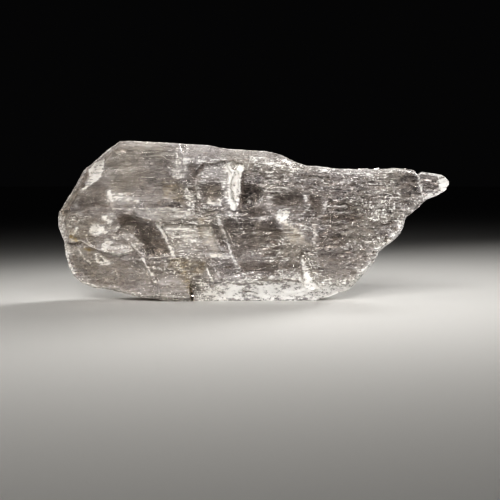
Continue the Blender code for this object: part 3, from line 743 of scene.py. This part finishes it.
        "kneeSlantA": (((45.2, 14.4), (47, 10), (47.8, 6)), 0.4, 0.7),
        "kneeSlantB": (((48.2, 14.2), (50.2, 9.6), (51.6, 6.6)), 0.4, 0.95),
        "kneeSlantC": (((50.6, 14), (52.6, 10.4), (54.2, 8)), 0.4, 0.9),
        "kneeSlantD": (((40.2, 14), (41.8, 10.6), (42.8, 8)), 0.4, 0.6),
        "kneeStreak": (((36, 14.2), (36.1, 11.8)), 0.6, 0.85),
        "kneeWaveA": (((31, 13.2), (33, 13), (35, 13.4)), 0.35, 0.6),
        "kneeWaveB": (((31.6, 11.2), (33.2, 11.5), (34.8, 11)), 0.5, 0.85),
        "eastBrace": (((81.6, 35.4), (83.5, 32), (81.8, 29)), 0.3, 0.5),
        "eastLineA": (((84.9, 16.6), (86.6, 12)), 0.3, 0.45),
        "eastLineB": (((87.8, 35), (87.8, 31), (86, 26.8)), 0.22, 0.4),
        "neckLine": (((118.6, 43), (119.8, 40.5), (120.8, 36.7), (121.5, 33.2)), 0.55, 1.35),
        "eastArc": (((103, 27.4), (104.4, 27.8), (105.8, 28.8)), 0.45, 0.9),
        "eastDash": (((105, 36.2), (107, 36.3), (109, 35.9)), 0.45, 0.9),
        "heelArc": (((12.9, 15.6), (13.4, 13.4), (15.4, 12.2), (17.6, 12.4)), 0.6, 1.3),
        "heelArcB": (((14.4, 15.4), (15.8, 13.8), (17.6, 13)), 0.5, 1.1),
        "heelArcC": (((7.2, 17), (8.8, 14.2), (11, 12.6)), 0.45, 0.9),
        "heelDash": (((18, 9.4), (19.4, 10.2), (20, 8.6)), 0.4, 0.7),
        "lensFoot": (((15, 17.6), (17.4, 16.2), (20.4, 15.4), (23.4, 16), (26.4, 17.3)), 0.6, 1.6),
        "lensRoof": (((18.6, 21.2), (22, 22.1), (25.4, 21.6), (27.2, 20.2), (28.8, 18.8)), 0.45, 0.7),
        "lensRay": (((17, 24.4), (20.6, 24.7), (24.4, 24.5)), 0.22, 0.6),
        "lensRayB": (((18.6, 22.9), (22, 23.2), (26, 22.8)), 0.2, 0.5),
        "upperLensFoot": (((11, 23.4), (12.6, 22.2), (15, 22.3), (16.6, 23.2)), 0.5, 1.2),
        "scarRayA": (((19, 35.6), (22.6, 35.4)), 0.4, 1),
        "scarRayB": (((19.2, 34.6), (22, 34.4), (27.4, 33.3)), 0.4, 1),
        "scarRayC": (((19.6, 33.4), (25, 33)), 0.22, 0.6),
        "chipEdge": (((15.9, 47.2), (15.8, 44.8), (15.1, 41.4), (12.9, 39.4), (8.6, 36.6)), 0.3, 0.7),
        "chipRoof": (((10, 43.4), (12.6, 45.7), (15.8, 47.2)), 0.3, 0.6),
        "splinterEdge": (((80.9, 14.4), (82.2, 11.6), (83.8, 7.6), (85.2, 4.4)), 0.5, 1.25),
        "footWaveA": (((62, 9.3), (65, 9.6), (69, 9.2)), 0.3, 0.7),
        "footWaveB": (((72, 10), (75, 10.7), (79, 10.8), (82, 10)), 0.3, 0.7),
        "midDashA": (((60.6, 22.8), (64, 23), (68.4, 22.6)), 0.22, 0.5),
        "midDashB": (((61.4, 27.2), (66, 27.4), (71, 27.2)), 0.2, 0.5),
        "midDashC": (((66, 20.8), (70, 21), (74, 20)), 0.22, 0.45),
        "tailRay": (((76.4, 25.4), (79, 23.8), (81.2, 21.4)), 0.3, 0.5),
        "shelfDashA": (((37.4, 22), (41, 21.8), (45, 21.9)), 0.3, 0.6),
        "shelfDashB": (((38, 20.4), (42, 20.3), (46, 20.4)), 0.25, 0.5),
        "shelfDashC": (((36.4, 24), (40, 24.1), (44.6, 24)), 0.25, 0.5),
        "crumbLine": (((43, 37), (43.6, 34.4), (44.6, 31.6), (45.8, 29.4)), 0.3, 0.7),
        "beltZigzag": (((45, 28), (46.2, 26.6), (48.6, 27.6), (50.6, 26.4)), 0.3, 0.6),
    },
    # the rear face has fewer of each
    "rear": {
        "frostAndHighlights": {
            "star": (((61, 12.4), (62.4, 14), (62, 16.4), (64.2, 15), (67, 15.6), (65.4, 13.4), (66.2, 11.2),
                      (63.8, 12.2)), 0.6, 0.9),
            "foot": (((38, -1), (40, 2.4), (48, 3.4), (60, 4.6), (72, 3.4), (84, 2.6), (86, -1)), 2.4, 0.55),
            "bayScar": (((32, 18.8), (36, 20.6), (41, 20), (46, 19), (40, 18.2)), 0.9, 0.65),
            "leaf": (((8.6, 25.4), (12, 28), (17, 29), (22, 27.6), (18, 25.6), (13, 24.6)), 0.7, 0.45),
            "leafEnd": (((8.6, 25.4), (10.4, 27.2), (12.4, 27), (12, 25.4)), 1, 0.8),
            "slipCrumbs": (((98, 40.6), (101.6, 40), (105.6, 33), (104, 30), (102, 34)), 1, 0.7),
            "tip": (((126.4, 43), (126.8, 40), (126, 36.4), (132, 35), (132, 43)), 1.2, 0.9),
            # painted glint
            "eyeSpark": (((41, 42.6), (42.4, 44.4), (44.4, 43.6), (43, 41.6)), 0.6, 0.8),
            "crown": (((58, 49), (66, 48.6), (75, 45.4), (70, 44.8), (62, 47)), 1.4, 0.3),
        },
        "milk": {
            "chip": (((14.6, 22.4), (24.4, 25), (29, 14.4), (22.8, 8.8), (15.6, 12)), 1.6, 0.22),
            "westCloud": (((3, 20), (5, 34), (12, 44), (18, 38), (14, 22)), 4, 0.22),
            "midVeil": (((64, 12), (66, 34), (80, 36), (86, 20), (80, 10)), 5, 0.20),
            "shoulder": (((14, 46), (20, 52), (25.6, 52), (24, 44.4), (17.8, 39)), 1.6, 0.24),
            "eastRim": (((94, 4.4), (106, 18), (114.6, 27.8), (117.4, 27), (112, 18), (96, 2)), 1.6, 0.26),
        },
        # clearer places on the rear, with the same painted shade
        "clear": {
            "bay": (((32.4, 20.4), (46.8, 19.4), (54, 22.6), (51.6, 32.4), (32, 33.6)), 2, 0.30),
            "slip": (((86.6, 38.6), (99.8, 38.2), (103, 30.8), (92.4, 24.6), (87.6, 28.6)), 1.8, 0.34),
            "underCrown": (((56, 38), (66, 43), (76, 41), (70, 36)), 2.4, 0.25),
            "heel": (((8, 8), (14, 6.4), (14, 18), (7, 16)), 2.4, 0.22),
            "tipNeck": (((110, 42), (119, 41.6), (120, 34), (112, 32)), 2.4, 0.25),
        },
        "stain": {
            "bayRust": (((40, 16), (50, 18.4), (58, 15), (52, 10)), 3, 0.3),
            "westWarmth": (((-2, 54), (40, 54), (56, 0), (-2, 0)), 12, 0.06),
            "footCrack": (((38.6, 8), (41, 4), (42.6, -1), (41.6, -1), (39.6, 4)), 0.6, 0.8),
        },
        "cracks": {
            "shoulderFoot": (((4, 36.6), (6, 36.2), (17.8, 38.6), (24.2, 44), (26, 53)), 0.7, 0.7),
            "bayRoof": (((30.4, 34.8), (52.8, 33.6)), 0.7, 0.75),
            "baySide": (((30.4, 34.8), (33, 19)), 0.6, 0.6),
            "bayFoot": (((33, 19), (47.4, 17.9), (55.6, 21.8), (52.8, 33.6)), 0.6, 0.6),
            "terrace": (((59.4, 50), (61, 38.4), (66.6, 26.8), (69.8, 12.2), (72, 0)), 0.7, 0.7),
            "slipRoof": (((84.4, 40.2), (101.2, 39.4), (104.6, 30.4)), 0.7, 0.7),
            "slipFoot": (((104.6, 30.4), (92.6, 22.8), (86.2, 27.6), (84.4, 40.2)), 0.6, 0.6),
            "chipEdge": (((14.6, 22.4), (24.4, 25), (29, 14.4), (22.8, 8.8), (15.6, 12)), 0.6, 0.6),
            "longA": (((3, 29.4), (12, 30), (24, 29.6), (29, 29.8)), 0.22, 0.55),
            "longB": (((34, 41), (46, 41.4), (58, 41.2)), 0.22, 0.5),
            "longC": (((66, 9.6), (76, 9.2), (90, 9.8)), 0.25, 0.55),
            "longD": (((88, 20), (98, 20.6), (108, 20.2)), 0.22, 0.5),
            "slantA": (((50, 50), (53, 43), (54.4, 37)), 0.22, 0.5),
            "slantB": (((76, 34), (79, 24), (82.4, 12)), 0.25, 0.55),
            "slantC": (((20, 22), (24, 12), (26, 4)), 0.25, 0.5),
            "slantD": (((44, 14), (47, 8), (49, 2)), 0.22, 0.5),
            "neck": (((118.6, 43), (119.8, 40.5), (120.8, 36.7), (121.5, 33.2)), 0.3, 0.9),
        },
        "crumbly": {
            "east": (((100, 42), (120, 40), (121, 33), (110, 17), (99, 5), (96, 18)), 5, 0.9),
            "star": (((57, 18), (72, 20), (72, 8), (58, 7)), 3, 0.9),
            "west": (((4, 34), (14, 40), (24, 32), (22, 22), (6, 20)), 4, 0.6),
            "crown": (((44, 50), (60, 48), (78, 43), (76, 38), (56, 42), (44, 44)), 3, 0.7),
        },
    },
    "milkEverywhere": 0.05,
    # partly painted light: the rear is made milkier and paler, which also stands in for light scattered
    # through the crystal
    "rearMilkAndGlow": 0.13,
    "rimWidth": (0.5, 2.6),
    "rimStrength": 0.12,
    # painted highlight: a thin bright line just inside the outline
    "edgeWidth": (0.15, 0.7),
    "edgeStrength": 0.45,
    # ridges and grooves: how far a point stands proud of its neighbours, in mm, and how strongly it shows
    "proudFrom": 0.015,
    "proudOver": 0.08,
    "ridgeStrength": 0.5,
    "grooveStain": {"front": 0.25, "rear": 0.1},
    "wallFrost": {"front": 0.16, "rear": 0.6},
    "rearLiveliness": 0.85,
    # which normals belong to the front, to steep walls and to what faces forward or back
    "frontNormals": 0.35,
    "steepNormals": (0.25, 0.75),
    "facingNormals": (0.12, 0.45),
    # ragged borders: length and height of the noise, its seed and how far it moves a border, in mm
    "raggedAlong": (1.1, 0.5, 3.0, 0.38),
    "raggedUp": (1.4, 0.6, 8.0, 0.24),
    # uneven strength: length and height of the noise, its seed, the middle and the spread
    "uneven": (3.2, 1.6, 14.0, 0.62, 0.55),
    "steadyCrack": 0.35,
    "darkLineBite": 0.85,
    "thinnestLine": 0.4,
    "lineBorder": (0.3, 1.1),
}


def patchSum(flat, patches):
    # the strongest patch wins where patches meet
    total = numpy.zeros(len(flat))
    for corners, soft, strength in patches.values():
        share = softStep(distanceInside(flat, corners), -0.5 * soft, 0.5 * soft) * strength
        total = numpy.maximum(total, share)
    return total


def crackLines(flat, cracks):
    total = numpy.zeros(len(flat))
    for line, width, strength in cracks.values():
        points = numpy.array(line)
        gap = numpy.full(len(flat), 1e9)
        for first, second in zip(points, points[1:]):
            gap = numpy.minimum(gap, distanceToLine(flat, first, second))
        width = max(width, paintSettings["thinnestLine"])
        inner, outer = (share * width for share in paintSettings["lineBorder"])
        total = numpy.maximum(total, (1.0 - softStep(gap, inner, outer)) * strength)
    return total


def eitherFace(front, flat, kind, reader=patchSum):
    # the front's patches on the front, and the rear's on the rear
    return numpy.where(front, reader(flat, paintSettings[kind]), reader(flat, paintSettings["rear"][kind]))


def byFace(front, shares):
    return numpy.where(front, shares["front"], shares["rear"])


def waver(flat, length, height, seed):
    # smooth noise, drawn out along the crystal and stretched to about -1 to 1
    return numpy.array([noise.noise(Vector((x / length, z / height, seed))) for x, z in flat]) * 1.6


def paintCrystal(crystal):
    settings = paintSettings
    mesh = crystal.data
    places, normals = meshArrays(mesh)
    ends = numpy.empty(len(mesh.edges) * 2, int)
    mesh.edges.foreach_get("vertices", ends)
    ends = ends.reshape(-1, 2)

    # ridges stand proud of their neighbours, and grooves lie below them
    around = numpy.zeros((len(places), 3))
    links = numpy.zeros(len(places))
    for here, there in ((0, 1), (1, 0)):
        numpy.add.at(around, ends[:, here], places[ends[:, there]])
        numpy.add.at(links, ends[:, here], 1.0)
    proud = -((around / links[:, None] - places) * normals).sum(1) / mm
    ridges = numpy.clip((proud - settings["proudFrom"]) / settings["proudOver"], 0.0, 1.0)
    grooves = numpy.clip((-proud - settings["proudFrom"]) / settings["proudOver"], 0.0, 1.0)

    flat = onFace(places)
    front = normals[:, 1] < settings["frontNormals"]
    shifts = []
    for key in ("raggedAlong", "raggedUp"):
        *grain, most = settings[key]
        shifts.append(waver(flat, *grain) * most)
    ragged = flat + numpy.stack(shifts, axis=1)
    *unevenNoise, middle, spread = settings["uneven"]
    uneven = numpy.clip(middle + spread * waver(flat, *unevenNoise), 0.0, 1.0)

    inset = distanceInside(flat, crystalSettings["outline"])
    ragged[:, 0] -= numpy.where(front, 0.0, rearShift(flat, inset))
    rim = 1.0 - softStep(inset, *settings["rimWidth"])
    edge = 1.0 - softStep(inset, *settings["edgeWidth"])
    steep = 1.0 - softStep(numpy.abs(normals[:, 1]), *settings["steepNormals"])
    facing = softStep(numpy.abs(normals[:, 1]), *settings["facingNormals"])
    walls = byFace(front, settings["wallFrost"]) * steep * uneven
    # painted highlight: the thin line along the outline is painted white, on top of the paler rim and the
    # frosted walls
    frostAndHighlights = (rim * settings["rimStrength"] + settings["edgeStrength"] * edge) * facing + walls
    topCalm = patchSum(ragged, {"topBand": settings["calm"]["topBand"]}) * front
    frostAndHighlights = numpy.maximum(frostAndHighlights, ridges * uneven * settings["ridgeStrength"] * (1.0 - topCalm))
    frostAndHighlights = numpy.maximum(frostAndHighlights, eitherFace(front, ragged, "frostAndHighlights"))
    steady = settings["steadyCrack"]
    cracks = eitherFace(front, ragged, "cracks", crackLines) * (steady + (1.0 - steady) * uneven)
    frostAndHighlights = numpy.maximum(frostAndHighlights, cracks)
    # painted shade: dark lines bite into the white and take the darker tint of clear places
    darkLines = crackLines(ragged, settings["darkLines"]) * front
    frostAndHighlights *= 1.0 - settings["darkLineBite"] * darkLines
    clear = numpy.maximum(eitherFace(front, ragged, "clear"), darkLines)
    milk = settings["milkEverywhere"] + eitherFace(front, ragged, "milk")
    # the rear's extra milk is partly painted light, standing in for light scattered through the crystal
    milk = numpy.where(front, milk, milk + settings["rearMilkAndGlow"])
    crumbly = eitherFace(front, ragged, "crumbly")
    stain = grooves * byFace(front, settings["grooveStain"])
    stain = numpy.maximum(eitherFace(front, ragged, "stain"), stain)
    lively = numpy.array([liveliness(x, z) for x, z in flat])
    lively *= numpy.where(front, 1.0, settings["rearLiveliness"])
    lively = numpy.maximum(lively, patchSum(ragged, settings["lively"]) * front)
    lively *= 1.0 - patchSum(ragged, settings["calm"]) * front

    looks = {"frostAndHighlights": frostAndHighlights, "milk": milk, "clear": clear, "stain": stain, "lively": lively,
             "crumbly": crumbly}
    for name, values in looks.items():
        painted = mesh.attributes.new(name, "FLOAT", "POINT")
        painted.data.foreach_set("value", values.astype(numpy.float32))
    print("crystal painted")


crystal = makeCrystal()
loosenEdges(crystal)
weather(crystal)
paintCrystal(crystal)

# Thin cleavage flakes that opened up inside the crystal

flakeSettings = {
    "count": 5200,
    "triesEach": 8,
    "seed": 71,
    "sides": 7,
    # all in mm
    "along": (2.0, 128.0),
    "up": (1.0, 52.0),
    "margin": 0.55,
    "lengths": (0.9, 4.4),
    "shortening": (0.5, 1.0),
    "widths": (0.2, 0.7),
    "thickness": 0.05,
    "clearOfCrystal": 30.0,
    # shares of a flake's width and length kept free round it, and how many times that the crystal measures
    "widthRoom": 0.6,
    "lengthRoom": 0.6,
    "leastRoom": 2.6,
    # how far they lean, tilt and turn, in degrees
    "leanAlong": 7.0,
    "tilt": 38.0,
    "turn": 14.0,
    "towardsFront": 1.8,
    # how crowded they are
    "west": 0.25,
    "crowdAlong": (50.0, 84.0),
    "footUp": (6.0, 11.0),
    "footAlong": (44.0, 94.0),
}


def oneFlake():
    # a thin lens of a few faces, one unit long and wide
    bpy.ops.object.select_all(action="DESELECT")
    bpy.ops.mesh.primitive_cone_add(
        vertices=flakeSettings["sides"], radius1=0.5, radius2=0.0, depth=0.5, end_fill_type="NOTHING")
    flake = bpy.context.active_object
    bpy.ops.object.mode_set(mode="EDIT")
    bpy.ops.mesh.select_all(action="SELECT")
    bpy.ops.transform.translate(value=(0.0, 0.0, 0.25))
    bpy.ops.mesh.duplicate()
    bpy.ops.transform.mirror(constraint_axis=(False, False, True), center_override=(0.0, 0.0, 0.0))
    bpy.ops.mesh.select_all(action="SELECT")
    bpy.ops.mesh.remove_doubles(threshold=0.001)
    bpy.ops.mesh.normals_make_consistent(inside=False)
    bpy.ops.object.mode_set(mode="OBJECT")
    flake.data.transform(flake.matrix_world)
    corners = numpy.array([vertex.co for vertex in flake.data.vertices])
    faces = [list(face.vertices) for face in flake.data.polygons]
    bpy.data.objects.remove(flake)
    return corners, faces


def insideAt(tree, x, z):
    # where the crystal begins and ends, from front to back, at one place on its face
    outside = flakeSettings["clearOfCrystal"]
    front = tree.ray_cast(at(x, -outside, z), Vector((0.0, 1.0, 0.0)))[0]
    back = tree.ray_cast(at(x, outside, z), Vector((0.0, -1.0, 0.0)))[0]
    if front is None or back is None:
        return None
    return front.y / mm, back.y / mm


def makeFlakes(crystal):
    settings = flakeSettings
    draw = random.Random(settings["seed"])
    tree = BVHTree.FromObject(crystal, bpy.context.evaluated_depsgraph_get())
    corners, faces = oneFlake()
    shares = flakeShares()
    allCorners = []
    allFaces = []
    made = 0
    for _ in range(settings["count"] * settings["triesEach"]):
        if made == settings["count"]:
            break
        x = draw.uniform(*settings["along"])
        z = draw.uniform(*settings["up"])
        if draw.random() > shares[int(x), int(z)]:
            continue
        found = insideAt(tree, x, z)
        length = draw.uniform(*settings["lengths"]) * draw.uniform(*settings["shortening"])
        width = draw.uniform(*settings["widths"])
        room = settings["margin"] + width * settings["widthRoom"]
        if found is None or found[1] - found[0] < settings["leastRoom"] * room:
            continue
        ends = [insideAt(tree, x + shift * length * settings["lengthRoom"], z) for shift in (-1.0, 1.0)]
        if None in ends:
            continue
        nearest = max([found[0]] + [end[0] for end in ends]) + room
        furthest = min([found[1]] + [end[1] for end in ends]) - room
        if furthest <= nearest:
            continue
        depth = nearest + (furthest - nearest) * draw.random() ** settings["towardsFront"]
        lean = Matrix.Rotation(math.radians(draw.gauss(0.0, settings["leanAlong"])), 3, "Y")
        tilt = Matrix.Rotation(math.radians(90.0 + draw.gauss(0.0, settings["tilt"])), 3, "X")
        turn = Matrix.Rotation(math.radians(draw.gauss(0.0, settings["turn"])), 3, "Z")
        grown = corners * (length, width, settings["thickness"])
        placed = grown @ numpy.array(turn @ lean @ tilt).T
        placed = placed * mm + numpy.array(at(x, depth, z))
        start = len(allCorners) * len(corners)
        allCorners.append(placed)
        allFaces += [[start + corner for corner in face] for face in faces]
        made += 1
    flakes = emptyPiece("inner_flakes")
    flakes.data.from_pydata(numpy.concatenate(allCorners), [], allFaces)
    flakes.data.update()
    print("inner flakes:", made)
    return flakes


def flakeShares():
    # how crowded the flakes are, mm by mm: most to the right and near the foot, none in the clear places
    settings = flakeSettings
    across, up = numpy.meshgrid(numpy.arange(132.0), numpy.arange(54.0), indexing="ij")
    flat = numpy.stack([across.ravel(), up.ravel()], axis=1)
    right = settings["west"] + (1.0 - settings["west"]) * softStep(flat[:, 0], *settings["crowdAlong"])
    footFrom, footTo = settings["footAlong"]
    foot = (flat[:, 0] > footFrom) & (flat[:, 0] < footTo)
    foot = (1.0 - softStep(flat[:, 1], *settings["footUp"])) * foot
    crowd = numpy.maximum(right, foot) * (1.0 - patchSum(flat, paintSettings["clear"]))
    return crowd.reshape(across.shape)


flakes = makeFlakes(crystal)

finishSettings = {
    "ior": 1.52,
    "clearTint": (0.90, 0.87, 0.83, 1.0),
    "mauveTint": (0.865, 0.835, 0.86, 1.0),
    "frostTint": (0.97, 0.963, 0.95, 1.0),
    "stainTint": (0.42, 0.335, 0.20, 1.0),
    # painted shade: the darker tint that clear places take
    "clearShadeTint": (0.53, 0.475, 0.435, 1.0),
    "clearShadeShare": 0.85,
    "shadeTint": (0.32, 0.28, 0.275, 1.0),
    "shadeEverywhere": 0.28,
    "smokeTint": (0.78, 0.72, 0.68, 1.0),
    "smokeDensity": 34.0,
    # from the clearest places to the whitest
    "transmission": (0.95, 0.10),
    "roughness": (0.06, 0.42),
    "stainBlocks": 0.4,
    "splitWidth": (0.01, 0.035),
    "bumpStrength": 0.4,
    "bumpHeight": 0.0003,
    # noise patterns: how often they vary in a metre along, through and up the crystal, detail, roughness and
    # where they start, then the part of the noise that counts and what it is spread to
    "patterns": {
        "clouds": ((45.0, 150.0, 110.0), 3.0, 0.6, (0.0, 0.0, 0.0), (0.34, 0.66), (0.0, 0.12)),
        "dashes": ((230.0, 900.0, 2500.0), 2.4, 0.65, (0.0, 0.0, 0.0), (0.54, 0.63), (0.0, 0.6)),
        "specks": ((1300.0, 900.0, 2000.0), 2.0, 0.6, (4.0, 0.0, 0.0), (0.59, 0.66), (0.0, 1.1)),
        "gaps": ((420.0, 500.0, 1500.0), 2.0, 0.6, (9.0, 3.0, 0.0), (0.42, 0.54), (0.1, 1.0)),
        "groups": ((140.0, 300.0, 260.0), 2.0, 0.5, (3.0, 5.0, 8.0), (0.38, 0.60), (0.45, 1.25)),
        "bands": ((110.0, 300.0, 900.0), 3.0, 0.6, (7.0, 1.0, 2.0), (0.32, 0.68), (0.55, 1.45)),
        "curl": ((560.0, 600.0, 660.0), 2.0, 0.6, (11.0, 4.0, 6.0)),
        "apart": ((700.0, 700.0, 800.0), 1.0, 0.5, (2.0, 8.0, 3.0), (0.50, 0.57), (0.0, 1.0)),
        "fine": ((1500.0, 900.0, 1700.0), 3.0, 0.7, (8.0, 8.0, 1.0), (0.52, 0.64), (0.0, 0.45)),
        "crumbs": ((520.0, 700.0, 900.0), 4.0, 0.8, (2.0, 7.0, 1.0), (0.36, 0.60), (0.25, 1.15)),
        "blotches": ((170.0, 300.0, 330.0), 3.0, 0.6, (3.0, 9.0, 5.0), (0.38, 0.58), (0.5, 1.05)),
        "tints": ((60.0, 90.0, 120.0), 2.0, 0.5, (5.0, 5.0, 5.0), (0.4, 0.6), (0.0, 1.0)),
        "shades": ((260.0, 900.0, 1500.0), 3.0, 0.65, (6.0, 2.0, 4.0), (0.51, 0.61), (0.0, 1.0)),
        "rust": ((500.0, 900.0, 900.0), 3.0, 0.6, (1.0, 2.0, 3.0), (0.35, 0.62), (0.3, 1.0)),
        "hairlines": ((160.0, 900.0, 3800.0), 2.0, 0.6, (0.0, 0.0, 0.0)),
        "grain": ((1100.0, 900.0, 1700.0), 2.0, 0.6, (0.0, 0.0, 0.0)),
        "flakes": ((400.0, 400.0, 900.0), 2.0, 0.6, (0.0, 0.0, 0.0), (0.35, 0.65), (0.0, 1.0)),
    },
    "flakeTints": ((0.70, 0.66, 0.62, 1.0), (0.97, 0.96, 0.94, 1.0)),
    "flakeRoughness": 0.22,
    "flakeMetallic": 0.5,
}


def pattern(nodes, links, name):
    perMetre, detail, rough, offset, *spread = finishSettings["patterns"][name]
    value = noiseField(nodes, links, stretchedPosition(nodes, links, perMetre, offset), detail, rough)
    if not spread:
        return value
    counts, becomes = spread
    return ranged(nodes, links, value, *counts, *becomes)


def clearSelenite():
    settings = finishSettings
    material, nodes, links = newMaterial("clear_selenite")
    shader = nodes.new("ShaderNodeBsdfPrincipled")
    output = nodes.new("ShaderNodeOutputMaterial")
    smoke = nodes.new("ShaderNodeVolumeAbsorption")
    links.new(shader.outputs["BSDF"], output.inputs["Surface"])
    links.new(smoke.outputs["Volume"], output.inputs["Volume"])
    smoke.inputs["Color"].default_value = settings["smokeTint"]
    smoke.inputs["Density"].default_value = settings["smokeDensity"]
    shader.inputs["IOR"].default_value = settings["ior"]

    def plus(first, second, clamp=False):
        return maths(nodes, links, "ADD", first, second, clamp)

    def times(first, second):
        return maths(nodes, links, "MULTIPLY", first, second)

    def noisy(name):
        return pattern(nodes, links, name)

    paints = ("frostAndHighlights", "milk", "clear", "stain", "lively", "crumbly")
    frostAndHighlights, milk, clear, stain, lively, crumbly = [vertexValue(nodes, name) for name in paints]

    # milky clouds, fine dashes along the crystal, and specks
    clouds = noisy("clouds")
    lively = times(lively, noisy("groups"))
    flecks = times(plus(noisy("dashes"), noisy("specks")), lively)
    haze = times(plus(clouds, flecks), noisy("gaps"))
    haze = plus(haze, times(milk, noisy("bands")))

    # curved splits a millimetre or two long, and fine crumbs between them
    curl = maths(nodes, links, "SUBTRACT", noisy("curl"), 0.5)
    splits = ranged(nodes, links, maths(nodes, links, "ABSOLUTE", curl), *settings["splitWidth"], 1.0, 0.0)
    crushed = plus(times(splits, noisy("apart")), noisy("fine"))
    haze = plus(haze, times(crushed, crumbly))
    haze = times(haze, maths(nodes, links, "SUBTRACT", 1.0, clear, clamp=True))
    # white patches: broken places, and the painted highlights carried with them
    whitePatches = times(times(frostAndHighlights, noisy("crumbs")), noisy("blotches"))
    share = plus(whitePatches, haze, clamp=True)

    body = blended(nodes, links, noisy("tints"), settings["clearTint"], settings["mauveTint"])
    # painted shade: clear places and the dark lines take a darker tint, standing in for the dark seen
    # through them
    body = blended(nodes, links, times(clear, settings["clearShadeShare"]), body, settings["clearShadeTint"])
    shadeShare = plus(lively, settings["shadeEverywhere"], clamp=True)
    body = blended(nodes, links, times(noisy("shades"), shadeShare), body, settings["shadeTint"])
    white = blended(nodes, links, share, body, settings["frostTint"])
    rusty = times(stain, noisy("rust"))
    links.new(blended(nodes, links, rusty, white, settings["stainTint"]), shader.inputs["Base Color"])
    solid = plus(share, times(rusty, settings["stainBlocks"]), clamp=True)
    seeThrough = ranged(nodes, links, solid, 0.0, 1.0, *settings["transmission"])
    rough = ranged(nodes, links, share, 0.0, 1.0, *settings["roughness"])
    links.new(seeThrough, shader.inputs["Transmission Weight"])
    links.new(rough, shader.inputs["Roughness"])

    # hairline striations along the crystal, and a fine grain
    bump = nodes.new("ShaderNodeBump")
    bump.inputs["Strength"].default_value = settings["bumpStrength"]
    bump.inputs["Distance"].default_value = settings["bumpHeight"]
    links.new(plus(noisy("hairlines"), times(noisy("grain"), lively)), bump.inputs["Height"])
    links.new(bump.outputs["Normal"], shader.inputs["Normal"])
    return material


def whiteFracture():
    settings = finishSettings
    material, nodes, links = newMaterial("white_fracture")
    shader = nodes.new("ShaderNodeBsdfPrincipled")
    output = nodes.new("ShaderNodeOutputMaterial")
    links.new(shader.outputs["BSDF"], output.inputs["Surface"])
    tint = blended(nodes, links, pattern(nodes, links, "flakes"), *settings["flakeTints"])
    links.new(tint, shader.inputs["Base Color"])
    shader.inputs["Roughness"].default_value = settings["flakeRoughness"]
    shader.inputs["Metallic"].default_value = settings["flakeMetallic"]
    return material


crystal.data.materials.append(clearSelenite())
flakes.data.materials.append(whiteFracture())
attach(flakes, "root")
pickOnly(crystal)
bpy.ops.object.shade_smooth_by_angle(angle=math.radians(crystalSettings["smoothAngle"]))
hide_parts("selenite_blade")
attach(crystal, "root")
